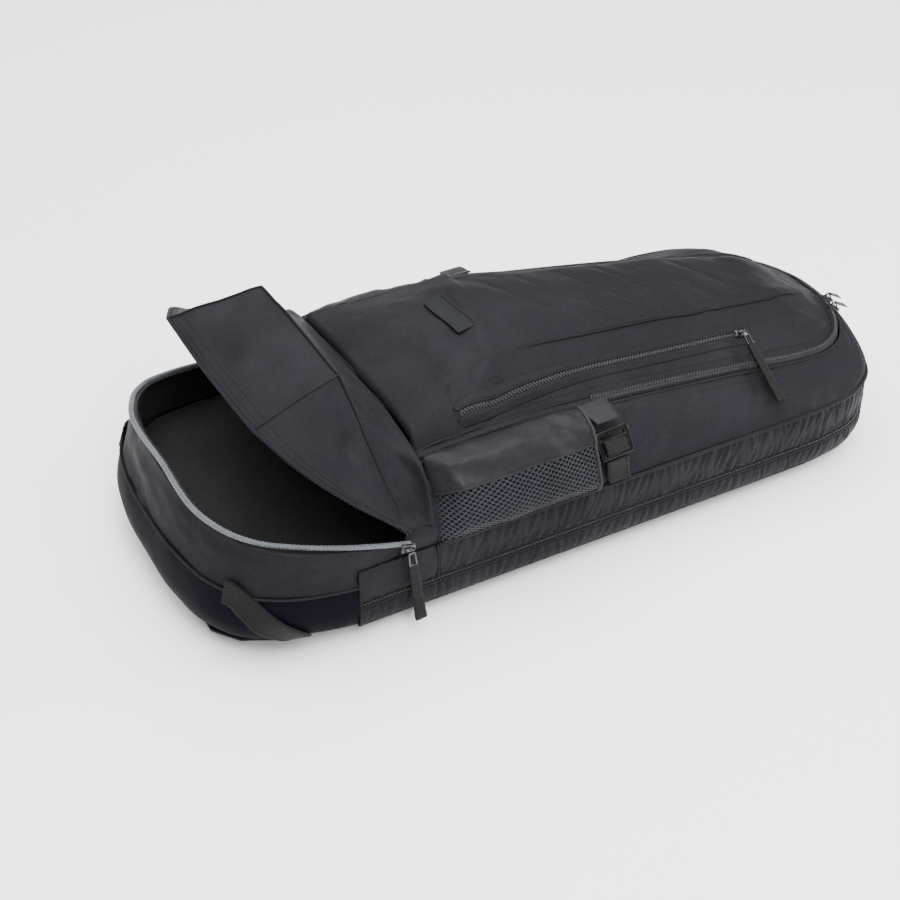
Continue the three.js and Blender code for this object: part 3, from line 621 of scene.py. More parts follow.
def boot_row(share, inset):
    """The boot's wall at a share of its height, from the near side round the toe to the far side."""
    row = []
    for (y, x), (_, r) in zip(mirrored(BOOT), mirrored(RIM)):
        end = min(1, (-x - 190) / 120)
        tuck = 13 * max(0, 1 - share / 0.25) ** 2
        squeeze = 1 - (inset + tuck * end) / 168
        low = (x + (inset + tuck) * end, y * squeeze, 16.4)
        high = swung(max(r - inset, 1), RIM_TILT, y * (1 - inset / 168))
        belly = 4 * math.sin(math.pi * min(share * 1.5, 1))
        lean = share * share
        row.append((low[0] + (high[0] - low[0]) * lean - belly * end,
                    (low[1] + (high[1] - low[1]) * lean) * (1 + belly / 168),
                    low[2] + (high[2] - low[2]) * share))
    return row


BOOT_COATED = woven("coated boot cloth", (0.0013, 0.0010, 0.0030), (0.0025, 0.0020, 0.0056), 0.58, 3000, 0.06,
                    0.0, crumple=0.08, specular=0.035)
CORNER_X = -235.4
CORNER_TOP = 82.4
INNER_INSIDE = (-250, 0, 70)


def trimmed_at_corner(piece):
    """Cuts away the boot's wall where the corner panel takes over."""
    bm = bmesh.new()
    bm.from_mesh(piece.data)
    for place, normal in (((CORNER_X * MM, 0, 0), (1, 0, 0)), ((0, 0, CORNER_TOP * MM), (0, 0, 1))):
        whole = list(bm.verts) + list(bm.edges) + list(bm.faces)
        bmesh.ops.bisect_plane(bm, geom=whole, dist=1e-6, plane_co=place, plane_no=normal)
    middles = [(f, f.calc_center_median() / MM) for f in bm.faces]
    gone = [f for f, middle in middles if middle.x > CORNER_X and middle.z < CORNER_TOP]
    bmesh.ops.delete(bm, geom=gone, context="FACES")
    bm.to_mesh(piece.data)
    bm.free()


boot = both_ways([boot_row(s, 0) for s in (0, 0.05, 0.12, 0.25, 0.42, 0.56)], 2.8)
u, v = measured(boot)
soft = np.stack([u, v, np.zeros_like(u)], axis=-1)
lift = 1.6 * rumple(soft, (70, 45, 1), 2) + 0.5 * rumple(soft, (24, 20, 1), 4)
boot = boot + outward(boot, INNER_INSIDE) * lift[..., None]
boot_out = outward(boot, INNER_INSIDE)
boot_shell = cut_and_laid("boot_cloth", boot, 2.6, [BOOT_COATED, LINING], INNER_INSIDE)
trimmed_at_corner(boot_shell)
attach(boot_shell, "back_shell")
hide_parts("boot_shell")

collar = both_ways([boot_row(s, 0) for s in (0.566, 0.66, 0.78, 0.9, 1)], 2.8)
u, v = measured(collar)
soft = np.stack([u, v * 1.2, np.zeros_like(u)], axis=-1)
fade = np.minimum(1, (v.max(0) - v) / 10)
collar = collar + outward(collar, INNER_INSIDE) * (fade * (1.5 * rumple(soft, (46, 16, 1), 6)
                                                           + 0.5 * rumple(soft, (18, 9, 1), 7)))[..., None]
shoe_collar = cut_and_laid("collar_cloth", collar, 2.6, [SHELL, LINING], INNER_INSIDE)
trimmed_at_corner(shoe_collar)
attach(shoe_collar, "back_shell")
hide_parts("shoe_collar")

seam_line = through(np.array(boot_row(0.563, -0.9)), 2.5)
seam_line = seam_line[(seam_line[:, 0] < CORNER_X) | (seam_line[:, 2] > CORNER_TOP)]
boot_seam = piping("boot_seam_piping", seam_line, 1.3, SHELL)
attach(boot_seam, "back_shell")
for side in (-1, 1):
    tag = "near" if side < 0 else "far"
    corner_line = []
    for z in np.linspace(17.4, 82, 30):
        bulge = np.interp(z, (16.7, 18.2, 24, 32, 82), (-7, -2, 0.6, 1.6, 1.2))
        corner_line.append((CORNER_X + 0.2, side * (165.9 + bulge), z))
    upright = piping("corner_seam_" + tag, corner_line, 1.1, SHELL)
    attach(upright, "back_shell")

for side, tag in ((-1, "near"), (1, "far")):
    upright_line = [(-157.6, side * 166.2, z) for z in np.linspace(46, 83, 20)]
    meeting = piping("corner_meeting_seam_" + tag, upright_line, 1.2, SHELL)
    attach(meeting, "back_shell")

PIPED = woven("ribbed piping", (0.022, 0.027, 0.034), (0.062, 0.075, 0.090), 0.6, 3400, 0.25, 0.3,
              by_uv=False)
rim_path = through(np.array([swung(r - 1, RIM_TILT, y, 2.8) for y, r in mirrored(RIM)]), 0.9)
rim_piping = piping("mouth_piping", rim_path, 2.3, PIPED, 7, lambda k: 1 + 0.09 * math.sin(k * 1.5))
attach(rim_piping, "back_shell")
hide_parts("rim_piping")
rim_teeth = through(np.array([swung(r - 5.2, RIM_TILT, y * 0.985, 1.6) for y, r in mirrored(RIM)]), 2)
up_tilt = [(math.sin(RIM_TILT), 0, math.cos(RIM_TILT))] * len(rim_teeth)
mouth_coil = coil("mouth_zip_coil", rim_teeth, up_tilt, 3.4, COIL)
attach(mouth_coil, "back_shell")

# Shoe compartment lining: a quilted floor and a divider wall of plain lining cloth, bagged out and sewn to
# the boot's inner seams.
floor_rows = []
for t in np.linspace(0, 1, 60):
    x = -347 + t * 178
    half = min(float(np.interp(x, [b[1] for b in BOOT[::-1]], [b[0] for b in BOOT[::-1]])) - 12, 156)
    floor_rows.append([(x, half * s, 73.2 - 2.2 * math.cos(math.pi * s / 2) * math.sin(math.pi * t))
                       for s in np.linspace(-1, 1, 90)])
shoe_floor_cloth = np.array(floor_rows)
shoe_floor_cloth[..., 2] += 0.7 * rumple(shoe_floor_cloth, 26, 8)
shoe_floor = cut_and_laid("shoe_floor_cloth", shoe_floor_cloth, 1.6, [LINING], inside=(-250, 0, 0))
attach(shoe_floor, "back_shell")
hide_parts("shoe_floor")


def hung_wall(name, outline, x, lean, body, node):
    """An upright lining wall: outline is (half width, height) from the foot up, x its shoe-side face."""
    heights = np.linspace(outline[0][1], outline[-1][1], 34)
    rows = []
    for z in heights:
        half = float(np.interp(z, [o[1] for o in outline], [o[0] for o in outline]))
        rows.append([(x + lean * math.cos(math.pi * s / 2), half * s, z) for s in np.linspace(-1, 1, 70)])
    cloth = np.array(rows)
    cloth[..., 0] += 0.6 * rumple(cloth, 24, 21)
    wall = cut_and_laid(name, cloth, 1.2, [LINING], inside=(x + 400, 0, 100))
    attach(wall, body)
    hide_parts(node)
    return wall


SHOE_WALL = [(150, 74.8), (150, 112), (136, 136), (112, 148), (70, 155), (8, 156)]
hung_wall("shoe_wall_cloth", SHOE_WALL, -165, 0.6,
          "back_shell", "shoe_rear_wall")

# Shoe hood: a lined cloth lid over the shoes with a zip round its edge. It is cut in a top panel and two
# side gores, and a loose pleat joins it to the body so that it can fold right back.
HOOD_EDGE = [(168, 14), (167, 38), (163, 80), (153, 116), (136, 140), (118, 152), (98, 163), (0, 168)]
FOLD = [(166, 14), (156, 24), (144, 40), (132, 60), (119, 79), (100, 108), (81, 137), (0, 141)]
CREASE = [(163, 104), (162, 114), (159, 128), (152, 143), (140, 157), (116, 167), (80, 172), (0, 173)]


def near_segment(points, a, b):
    """Distance from each point to a segment, and how far along the segment it lies."""
    a, b = np.asarray(a, float), np.asarray(b, float)
    along = b - a
    t = np.clip(((points - a) @ along) / (along @ along), 0, 1)
    return np.linalg.norm(points - (a + t[..., None] * along), axis=-1), t


def creased(cloth, normals, folds):
    """Raises or sinks narrow folds: each is start, end, width and depth, fading at both ends."""
    lift = np.zeros(cloth.shape[:2])
    for a, b, width, depth in folds:
        away, t = near_segment(cloth, a, b)
        lift += depth * np.exp(-(away / width) ** 2) * np.sin(np.pi * np.clip(t, 0.04, 0.96)) ** 0.6
    return cloth + normals * lift[..., None]


edge = np.array([swung(r, HOOD_TILT, y, 9.5) for y, r in mirrored(HOOD_EDGE)])
back = np.array([swung(r, FOLD_TILT, y, -2) for y, r in mirrored(FOLD)])
hood_net = [edge + (back - edge) * t for t in (0, 0.12, 0.33, 0.6, 0.85, 1)]
hood_out = outward(np.array(hood_net), (-200, 0, 110))
hood_net = np.array(hood_net) + hood_out * (np.array([0, 1.2, 2.6, 2.6, 1.0, 0])[:, None, None])
hood = both_ways(hood_net, 2.3, corners=(6, 8))
normals = outward(hood, (-200, 0, 110))
HOOD_FOLDS = [
    ((-206, -98, 228), (-232, -150, 130), 9, -4.0), ((-206, -84, 231), (-215, -160, 112), 7, 3.2),
    ((-208, -120, 190), (-262, -130, 170), 11, -2.6), ((-236, -60, 232), (-290, 20, 210), 16, -1.8),
    ((-215, 30, 233), (-292, -40, 212), 14, 1.5), ((-240, -140, 150), (-205, -150, 130), 6, 1.8),
    ((-262, -120, 182), (-214, -132, 165), 8, 2.0), ((-230, 90, 225), (-262, 132, 168), 9, -2.4),
]
hood = creased(hood, normals, HOOD_FOLDS)
u, v = measured(hood)
soft = np.stack([u, v, np.zeros_like(u)], axis=-1)
still = np.minimum(1, v / 12)
lift = still * (2.2 * rumple(soft, (60, 34, 1), 31) + 0.8 * rumple(soft, (20, 26, 1), 32))
hood = hood + normals * lift[..., None]
shoe_hood = cut_and_laid("hood_cloth", hood, 2.2, [SHELL, LINING], (-200, 0, 110))
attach(shoe_hood, "hood")
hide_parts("shoe_hood")

hood_seams = {"hood_edge_binding": (hood[0] + normals[0] * 0.3, 1.7, SHELL)}
for tag, k in (("near", 6), ("far", 8)):
    column = np.argmin(np.linalg.norm(hood[0] - edge[k], axis=1))
    hood_seams["hood_gore_seam_" + tag] = (hood[:, column] + normals[:, column] * 0.5, 1.0, SHELL)
hood_seams["hood_fold_seam"] = (hood[-1] + normals[-1] * 0.3, 1.3, SHELL)
for name, (line, radius, cloth) in hood_seams.items():
    seam = piping(name, line, radius, cloth)
    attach(seam, "hood")
hood_coil = coil("hood_zip_coil", hood[1] - normals[1] * 2.9, -normals[1], 3.4, COIL)
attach(hood_coil, "hood")
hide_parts("hood_zip_edge")
for name, k in (("hood_edge_stitching", 2), ("hood_edge_stitching_inner", 4)):
    row = stitched(name, hood[k] + normals[k] * 0.2, normals[k])
    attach(row, "hood")

# Hood pleat: slack shell cloth between the hood's fold and the body, its top drawn onto the hood's fold line.
top = np.array([swung(max(r, 20), FOLD_TILT, y, 0.6) for y, r in mirrored(FOLD)])
foot = np.array([(-160.5, y, z) for y, z in mirrored(CREASE)])
slack = [0, -3.0, -5.0, -3.5, 0, 0, 0]
pleat_net = np.array([top + (foot - top) * t for t in (0, 0.25, 0.5, 0.75, 1)]
                     + [foot * (1, 0.99, 1) + (1.5, 0, -4), foot * (1, 0.98, 1) + (1.5, 0, -8)])
pleat_out = outward(pleat_net, (-180, 0, 100))
pleat_net = pleat_net + pleat_out * np.array(slack)[:, None, None]
pleat = both_ways(pleat_net, 2.3, corners=(6, 8))
normals = outward(pleat, (-180, 0, 100))
PLEAT_FOLDS = [
    ((-203, -92, 222), (-166, -140, 150), 7, 3.4), ((-196, -104, 196), (-163, -152, 138), 6, -3.0),
    ((-190, -60, 205), (-165, -110, 166), 8, -2.6), ((-200, 20, 225), (-166, -40, 172), 10, 2.2),
    ((-198, 84, 220), (-165, 130, 158), 8, 2.6), ((-190, -140, 140), (-166, -158, 118), 5, 2.0),
]
pleat = creased(pleat, normals, PLEAT_FOLDS)
fold_line = hood[-1]
nearest = [np.argmin(np.linalg.norm(fold_line - spot, axis=1)) for spot in pleat[0]]
drawn = fold_line[nearest] - pleat[0]
for i in range(6):
    pleat[i] += drawn * (1 - i / 6)
hood_pleat = cut_and_laid("pleat_cloth", pleat, 2.0, [SHELL, LINING], (-180, 0, 100))
for modifier in list(hood_pleat.modifiers):
    bpy.context.view_layer.objects.active = hood_pleat
    bpy.ops.object.modifier_apply(modifier=modifier.name)
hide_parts("hood_pleat")
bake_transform(hood_pleat)

for side, tag in ((-1, "near"), (1, "far")):
    rows = []
    for z, out in ((81.6, 0), (88, 0.6), (95, 0.4), (102, -2.5), (110, -7), (118, -12)):
        rows.append([(x, side * (163.4 + out), z) for x in np.linspace(-196 + (z - 81) * 0.45, -155, 6)])
    gore = both_ways(np.array(rows), 2.4)
    gore = gore + outward(gore, INSIDE) * (0.8 * rumple(gore, 12, 45))[..., None]
    corner_gore = cut_and_laid("corner_gore_" + tag, gore, 1.4, [SHELL], INSIDE)
    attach(corner_gore, "back_shell")

# Main compartment walls: a lined side wall round the handle end, a divider over the rackets and a front
# wall behind the shoes. The side wall is padded shell cloth, sewn in at the piped seam.
divider_rows = []
for x in np.linspace(-149, 368, 110):
    half = float(np.interp(x, [s[0] for s in STATIONS], [s[1] for s in STATIONS])) - 7
    divider_rows.append([(x, half * s, 79.4) for s in np.linspace(-1, 1, 60)])
divider = np.array(divider_rows)
divider[..., 2] += 0.5 * rumple(divider, 40, 41)
racket_divider = cut_and_laid("divider_cloth", divider, 1.8, [LINING], inside=(0, 0, 0))
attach(racket_divider, "main_tub")
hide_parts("racket_divider")
FRONT_WALL = [(158, 83.4), (151, 113), (139, 134), (122, 149), (100, 159), (60, 166), (8, 168)]
hung_wall("front_wall_cloth", FRONT_WALL, -156.4, 0.4, "main_tub", "front_wall")


def side_row(share, bulge):
    """A row of the side wall at a share of the way up to the main zip."""
    x = body_ring[:, 0] + (body_ring[:, 2] - body_ring[:, 0]) * share + body_ring[:, 5] * bulge
    y = body_ring[:, 1] + (body_ring[:, 3] - body_ring[:, 1]) * share + body_ring[:, 6] * bulge
    z = SEAM_HEIGHT + 0.4 + (body_ring[:, 4] - SEAM_HEIGHT - 0.4) * share
    return np.column_stack([x, y, z])


SIDE_BULGE = [(0, 0), (0.12, 2.6), (0.33, 5), (0.6, 5.2), (0.82, 2.8), (0.94, 0.2)]
side_cloth = through([side_row(share, bulge) for share, bulge in SIDE_BULGE], 2.6)
normals = outward(side_cloth, INSIDE)
SIDE_FOLDS = [
    ((60, -158, 92), (118, -132, 124), 9, 2.4), ((110, -160, 90), (176, -132, 112), 10, -2.0),
    ((180, -160, 90), (250, -132, 106), 9, 2.0), ((250, -160, 88), (310, -128, 101), 8, 2.0),
    ((300, -160, 86), (345, -118, 97), 7, -1.8), ((38, -152, 100), (58, -130, 138), 6, -2.6),
]
side_cloth = creased(side_cloth, normals, SIDE_FOLDS)
u, v = measured(side_cloth)
slanted = np.stack([u - 0.9 * v, v, np.zeros_like(u)], axis=-1)
still = np.minimum(1, np.minimum(v, v.max(0) - v) / 7 + 0.15)
free = 1 + 0.8 * np.clip((side_cloth[..., 0] - 36) / 20, 0, 1)
side_cloth = side_cloth + normals * (free * still * (1.3 * rumple(slanted, (34, 60, 1), 51)
                                                     + 0.6 * rumple(slanted, (15, 30, 1), 52)))[..., None]
side_wall = cut_and_laid("side_wall_cloth", side_cloth, 2.4, [SHELL, LINING], INSIDE)
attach(side_wall, "main_tub")
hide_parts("side_wall")
hem_line = side_row(0.93, 1.2)
side_hem = piping("side_wall_hem", hem_line, 1.5, SHELL)
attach(side_hem, "main_tub")
hem_outs = np.column_stack([body_ring[:, 5:7], np.full(len(body_ring), 0.8)])
row = stitched("side_wall_hem_stitching", side_row(0.84, 4.2), hem_outs)
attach(row, "main_tub")

# Front of the bag: one arched panel of shell cloth from the shoe compartment to the handle end. Past its
# bend it is the main compartment's lid, zipped to the side wall.
RIDGE = [
    (-150, 108, 170, 174), (-76, 84, 186, 193), (-38, 75, 195, 203), (22, 69, 184, 190), (84, 63, 173, 178),
    (212, 57, 154, 157), (300, 44, 134, 138), (340, 34, 120, 122), (375, 14, 103, 104),
]
LID_INSET = 5.6
whole_ring = handle_ring(-156, 4)
half_ring = whole_ring[whole_ring[:, 1] <= 0]
lid_edge = [(r[2] - r[5] * LID_INSET, -r[3] + r[6] * LID_INSET, r[4]) for r in half_ring]


def arch_row(x, drop=0.0):
    """A section across the front from the near zip over both ridges to the far zip."""
    half_width, ridge_z, centre_z = looked_up(RIDGE, x)
    zip_y, zip_z = looked_up(lid_edge, x)
    edge_y = max(zip_y, half_width + 4)
    shoulder = (zip_z + ridge_z) / 2 + 2
    half = [(edge_y, zip_z + 1), ((edge_y + half_width) / 2, shoulder), (half_width, ridge_z),
            (half_width * 0.75, (ridge_z + centre_z) / 2 + 0.8), (half_width / 2, centre_z), (0, centre_z)]
    skew = float(np.interp(x, [-112, -76, -38, -8], [0, 1, 1, 0])) * 0.22
    return [(x + skew * y, y, z - drop) for y, z in mirrored(half)]


front_net = [arch_row(-155.5, 7), arch_row(-153, 1.5)]
ARCH_PLACES = (-147, -112, -76, -50, -38, -26, -8, 22, 54, 84, 130, 170, 212, 256, 281, 300, 318, 336, 350,
               362, 370, 374.6)
front_net += [arch_row(x) for x in ARCH_PLACES]
front = both_ways(np.array(front_net), 2.6, corners=(2, 8))
FRONT_INSIDE = (60, 0, 100)
front_normals = outward(front, FRONT_INSIDE)
FRONT_FOLDS = [
    ((-60, -78, 192), (-112, -112, 152), 6, 4.6), ((-66, -70, 195), (-128, -92, 166), 8, -3.4),
    ((-50, -92, 182), (-84, -116, 150), 6, -3.4), ((-90, 10, 192), (-148, -30, 172), 18, -1.6),
    ((-80, 70, 188), (-140, 40, 174), 16, 1.4), ((300, -60, 128), (350, -74, 104), 8, 3.0),
    ((290, -44, 138), (362, -20, 108), 9, 3.0), ((286, -30, 141), (345, 10, 118), 10, -2.2),
    ((310, -70, 116), (352, -60, 104), 5, -2.0), ((270, 30, 146), (345, 30, 116), 12, 1.6),
]
front = creased(front, front_normals, FRONT_FOLDS)
u, v = measured(front)
x, y = front[..., 0], front[..., 1]
slanted = np.stack([x + 0.8 * y, y, np.zeros_like(x)], axis=-1)
slope_calm = np.where(np.abs(y) > 60, 0.35, 1.0)
front = front + front_normals * (slope_calm * (1.9 * rumple(slanted, (46, 60, 1), 61)
                                               + 0.8 * rumple(slanted, (16, 30, 1), 62)))[..., None]
far_sag = np.clip((y - 30) / 60, 0, 1) * np.clip((-x) / 60, 0, 1) * np.clip((x + 165) / 60, 0, 1)
front[..., 2] -= 4.0 * far_sag
front_normals = outward(front, FRONT_INSIDE)


def set_between(piece):
    """Applies a piece's modifiers and bakes its placement into its mesh."""
    bpy.context.view_layer.objects.active = piece
    for modifier in list(piece.modifiers):
        bpy.ops.object.modifier_apply(modifier=modifier.name)
    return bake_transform(piece)


front_panel = cut_and_laid("front_cloth", front, 2.6, [SHELL, LINING], FRONT_INSIDE)
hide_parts("front_lower_panel", "main_lid")
set_between(front_panel)


def on_front(x, y, lift=0.0):
    """The front cloth's surface point and normal over (x, y)."""
    gap = (front[..., 0] - x) ** 2 + (front[..., 1] - y) ** 2
    nearest = np.argsort(gap.ravel())[:6]
    spot = front.reshape(-1, 3)[nearest]
    n = front_normals.reshape(-1, 3)[nearest].mean(0)
    n /= np.linalg.norm(n)
    z = np.mean(spot[:, 2] - ((x - spot[:, 0]) * n[0] + (y - spot[:, 1]) * n[1]) / n[2])
    return np.array((x, y, z)) + n * lift, n


for tag, k in (("near", 0), ("far", -1)):
    line = front[:, k] + front_normals[:, k] * 0.6
    hem = piping("front_edge_hem_" + tag, line, 1.5, SHELL)
    set_between(hem)
end_hem = piping("front_end_hem", front[-1] + front_normals[-1] * 0.6, 1.5, SHELL)
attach(end_hem, "lid")
for tag, k, turn in (("near", 3, 1), ("far", -4, -1)):
    line = front[:, k] + front_normals[:, k] * 0.7
    row = stitched("front_edge_stitching_" + tag, line, front_normals[:, k])
    set_between(row)

for side, tag in ((-1, "near"), (1, "far")):
    keep = (np.sign(body_ring[:, 1]) == side) & (body_ring[:, 0] < 27)
    foot_row, top_row = side_row(0.93, 0.4)[keep], side_row(0.99, 0.8)[keep]
    inner_row = np.column_stack([body_ring[:, 2], body_ring[:, 3] - side * 7.5, body_ring[:, 4] + 0.4])[keep]
    middle_row = (top_row + inner_row) / 2 + (0, 0, 1.6)
    join = np.array([foot_row, top_row + (0, side * 0.6, 1.4), middle_row, inner_row])
    join_strip = cut_and_laid("front_join_" + tag, through(join, 1.6), 1.0, [SHELL], (-60, 0, 60))
    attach(join_strip, "main_tub")

# Front pocket: a second, lightly padded layer of shell cloth sewn on between the ridges. Slanting channels
# are pressed into it, and a welt runs down both long edges.
pocket_rows = []
for x in np.linspace(-30, 346, 150):
    half = looked_up(RIDGE, x)[0] - 1.5
    skew = float(np.interp(x, [-112, -76, -38, -8], [0, 1, 1, 0])) * 0.22
    pocket_rows.append([on_front(x + skew * half * s, half * s)[0] for s in np.linspace(-1, 1, 58)])
pocket = np.array(pocket_rows)
pocket_normals = outward(pocket, FRONT_INSIDE)
across = np.linspace(-1, 1, pocket.shape[1])[None, :]
down = np.linspace(0, 1, pocket.shape[0])[:, None]
rim = np.minimum(np.minimum(1 - np.abs(across), 1) * 5, np.minimum(down * 6, (1 - down) * 6)).clip(0, 1)
channel = pocket[..., 0] + 0.62 * pocket[..., 1]
wave = 0.5 + 0.5 * np.cos(2 * np.pi * (channel - 26) / 44)
pressed = np.exp(-((1 - wave) / 0.10)) * np.clip((channel + 10) / 40, 0, 1)
pressed = pressed * np.clip((290 - channel) / 50, 0, 1)
reach = np.clip((0.9 - np.abs(across + 0.15)) / 0.3, 0, 1)
puff = 3.4 * rim ** 0.5 - 2.7 * pressed * reach * rim
puff = puff + 0.9 * rumple(pocket, 38, 71) * rim
tucked = np.clip(1 - down * 14, 0, 1) + np.clip(1 - (1 - down) * 14, 0, 1)
pocket = pocket + pocket_normals * (0.7 + puff - 2.4 * tucked)[..., None]
front_pocket = cut_and_laid("front_pocket_cloth", pocket, 0.6, [SHELL], FRONT_INSIDE)
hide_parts("front_pocket_panel", "front_pocket_foot")
set_between(front_pocket)
for tag, k in (("near", 0), ("far", -1)):
    welt = piping("front_pocket_welt_" + tag, pocket[:, k] + pocket_normals[:, k] * 0.3, 1.2, SHELL)
    set_between(welt)

# Front pocket zip: a coil zip on the near slope under two folded hems, each held by a row of stitching.
POCKET_ZIP = [(-104, 107), (3, 99), (74, 93), (146, 88), (230, 82)]


def slope_line(offset, lift, x0=-104, x1=230):
    """Points and normals beside the pocket zip, offset up the slope."""
    xs = np.linspace(x0, x1, 130)
    base_y = np.array([-looked_up(POCKET_ZIP, x)[0] for x in xs])
    kernel = np.ones(15) / 15
    base_y = np.concatenate([base_y[:7], np.convolve(base_y, kernel, "valid"), base_y[-7:]])
    found = [on_front(x, y + offset * 0.86, lift) for x, y in zip(xs, base_y)]
    points = np.array([f[0] for f in found])
    outs = np.array([f[1] for f in found])
    for k in range(3):
        padded_line = np.pad(points[:, k], 4, mode="edge")
        smooth = np.convolve(padded_line, np.ones(9) / 9, "valid")
        points[4:-4, k] = smooth[4:-4]
    return points, outs


coil_line, coil_outs = slope_line(0, 1.7)
pocket_coil = coil("pocket_zip_coil", coil_line, coil_outs, 4.4, COIL)
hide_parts("pocket_zip_upper", "pocket_zip_lower")
set_between(pocket_coil)
strip = np.array([slope_line(o, l)[0] for o, l in ((-5, 0.8), (-3, 1.0), (0, 1.1), (3, 1.0), (5, 0.8))])
pocket_tape = cut_and_laid("pocket_zip_tape", strip, 0.7, [TAPE], FRONT_INSIDE)
set_between(pocket_tape)
HEM_ROWS = [(2.3, 1.5), (2.8, 2.2), (5, 2.3), (8, 1.6), (11, 0.5)]
for tag, sign in (("upper", 1), ("lower", -1)):
    flap = through(np.array([slope_line(sign * out, lift, -108, 236)[0] for out, lift in HEM_ROWS]), 1.2)
    sink = np.clip(1 - np.minimum(flap[..., 0] + 108, 236 - flap[..., 0]) / 9, 0, 1) ** 2
    flap = flap - outward(flap, FRONT_INSIDE) * (2.2 * sink)[..., None]
    flap_piece = cut_and_laid("pocket_zip_hem_" + tag, flap, 0.6, [SHELL], FRONT_INSIDE)
    set_between(flap_piece)
    row = stitched("pocket_zip_stitching_" + tag, *slope_line(sign * 5.4, 2.5, -102, 230))
    set_between(row)

# Main zip: a coil zip round the handle end between the side wall's hem and the lid's hem.
main_ring = handle_ring(24.5)
inner = 2.6
main_points = np.column_stack([main_ring[:, 2] - main_ring[:, 5] * inner,
                               main_ring[:, 3] - main_ring[:, 6] * inner, main_ring[:, 4] + 2.2])
main_outs = np.column_stack([main_ring[:, 5] * 0.45, main_ring[:, 6] * 0.45, np.full(len(main_ring), 0.9)])
main_coil = coil("main_zip_coil", main_points, main_outs, 4.0, COIL)
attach(main_coil, "main_tub")
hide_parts("main_zip")
TAPE_ROWS = [(-3.0, -5.0), (-2.9, -2.6), (-2.3, 0.2), (-1.2, 1.2), (0, 1.5), (1.4, 1.4), (3.4, 0.8)]
tape = np.array([np.column_stack([main_ring[:, 2] - main_ring[:, 5] * (inner + inwards),
                                  main_ring[:, 3] - main_ring[:, 6] * (inner + inwards),
                                  main_ring[:, 4] + lift]) for inwards, lift in TAPE_ROWS])
main_tape = cut_and_laid("main_zip_tape", through(tape, 1.3), 0.7, [TAPE], FRONT_INSIDE)
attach(main_tape, "main_tub")

# Badge: a blank rubber panel with a raised rim, stitched on under the crest.
BADGE = plain("badge rubber", (0.0028, 0.0034, 0.0042), 0.5, grain=500, specular=0.12)
bm = bmesh.new()
badge_spot, badge_out = on_front(-55, 0, 1.3)
badge_across = np.cross(badge_out, (1, 0, 0))
badge_across /= np.linalg.norm(badge_across)
turn = Matrix.Translation(Vector(badge_spot) * MM) @ Matrix(
    (np.cross(badge_across, badge_out), badge_across, badge_out)).transposed().to_4x4()
bmesh.ops.create_cube(bm, size=1, matrix=Matrix.Diagonal((0.021, 0.066, 0.0022, 1)))
lengthways = [e for e in bm.edges if (e.verts[0].co - e.verts[1].co).length > 0.05]
bmesh.ops.subdivide_edges(bm, edges=lengthways, cuts=11, use_grid_fill=True)
upright = [e for e in bm.edges if abs((e.verts[0].co - e.verts[1].co).length - 0.0022) < 1e-5
           and abs(e.verts[0].co.y) > 0.0329]
bmesh.ops.bevel(bm, geom=upright, offset=0.0022, segments=4, profile=0.5, affect="EDGES", material=-1)
bm.normal_update()
top_faces = [f for f in bm.faces if f.normal.z > 0.99]
bmesh.ops.inset_region(bm, faces=top_faces, thickness=0.0016, depth=0, use_boundary=True)
bmesh.ops.inset_region(bm, faces=top_faces, thickness=0.0005, depth=-0.0007, use_boundary=True)
reach = np.linspace(-33, 33, 15)
flat = badge_spot + badge_across * reach[:, None]
laid = np.array([on_front(x, y, 1.1)[0] for x, y, z in flat])
sag = np.polyfit(reach, (laid - flat) @ badge_out, 4)
for vert in bm.verts:
    vert.co.z += float(np.polyval(sag, vert.co.y / MM)) * MM
bmesh.ops.transform(bm, matrix=turn, verts=bm.verts)
badge = finished(bm, "badge_panel", BADGE)
round_off = badge.modifiers.new("soft edge", "BEVEL")
round_off.width = 0.0003
round_off.segments = 2
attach(badge, "main_tub")
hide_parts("badge")

# Side pockets: a band of spacer mesh along the foot with a gathered satin panel above it, sewn down round
# three sides. The mouth faces the handle end and is drawn in by a webbing strap and ladder lock.
SATIN = woven("pocket satin", (0.0052, 0.0050, 0.0064), (0.0110, 0.0106, 0.0132), 0.46, 3000, 0.07, 0.015,
              crumple=0.12, sheen_tint=(0.95, 0.95, 1.0), specular=0.12)
POCKET_BULGE = [(-152, 5), (-130, 17), (-90, 24), (-40, 22), (6, 15)]


def on_side(side, x, share, lift):
    """A point on the side wall, a share of the way up, standing off by lift, and the way out."""
    y, _, zip_y, zip_z = looked_up([(s[0], s[1], s[2], s[3], s[4]) for s in STATIONS], x)
    out = np.array((0, zip_z - SEAM_HEIGHT, y - zip_y))
    out /= np.linalg.norm(out)
    spot = np.array((x, y + (zip_y - y) * share, SEAM_HEIGHT + (zip_z - SEAM_HEIGHT) * share)) + out * lift
    return spot * (1, side, 1), out * (1, side, 1)


def pocket_sheet(side, low, high, x0=-153.0, x1=7.0):
    """The pocket's stretched form between two shares of the way up."""
    rows = []
    for share in np.linspace(low, high, max(6, int((high - low) * 62))):
        row = []
        for x in np.linspace(x0, x1, 76):
            full = 1.0 if side < 0 else 0.42
            body = math.sin(math.pi * (0.12 + 0.7 * share)) ** 0.7
            foot = min(1, max(share, 0) / 0.10) ** 0.6
            top = min(1, max(0.97 - share, 0) / 0.14) ** 0.6
            shut = min(1, (x - x0) / 16) ** 0.6
            lift = 5.6 + full * looked_up(POCKET_BULGE, max(x, -152))[0] * body
            lift *= 0.22 + 0.78 * foot * top * shut
            row.append(on_side(side, x, share, lift)[0])
        rows.append(row)
    return np.array(rows)


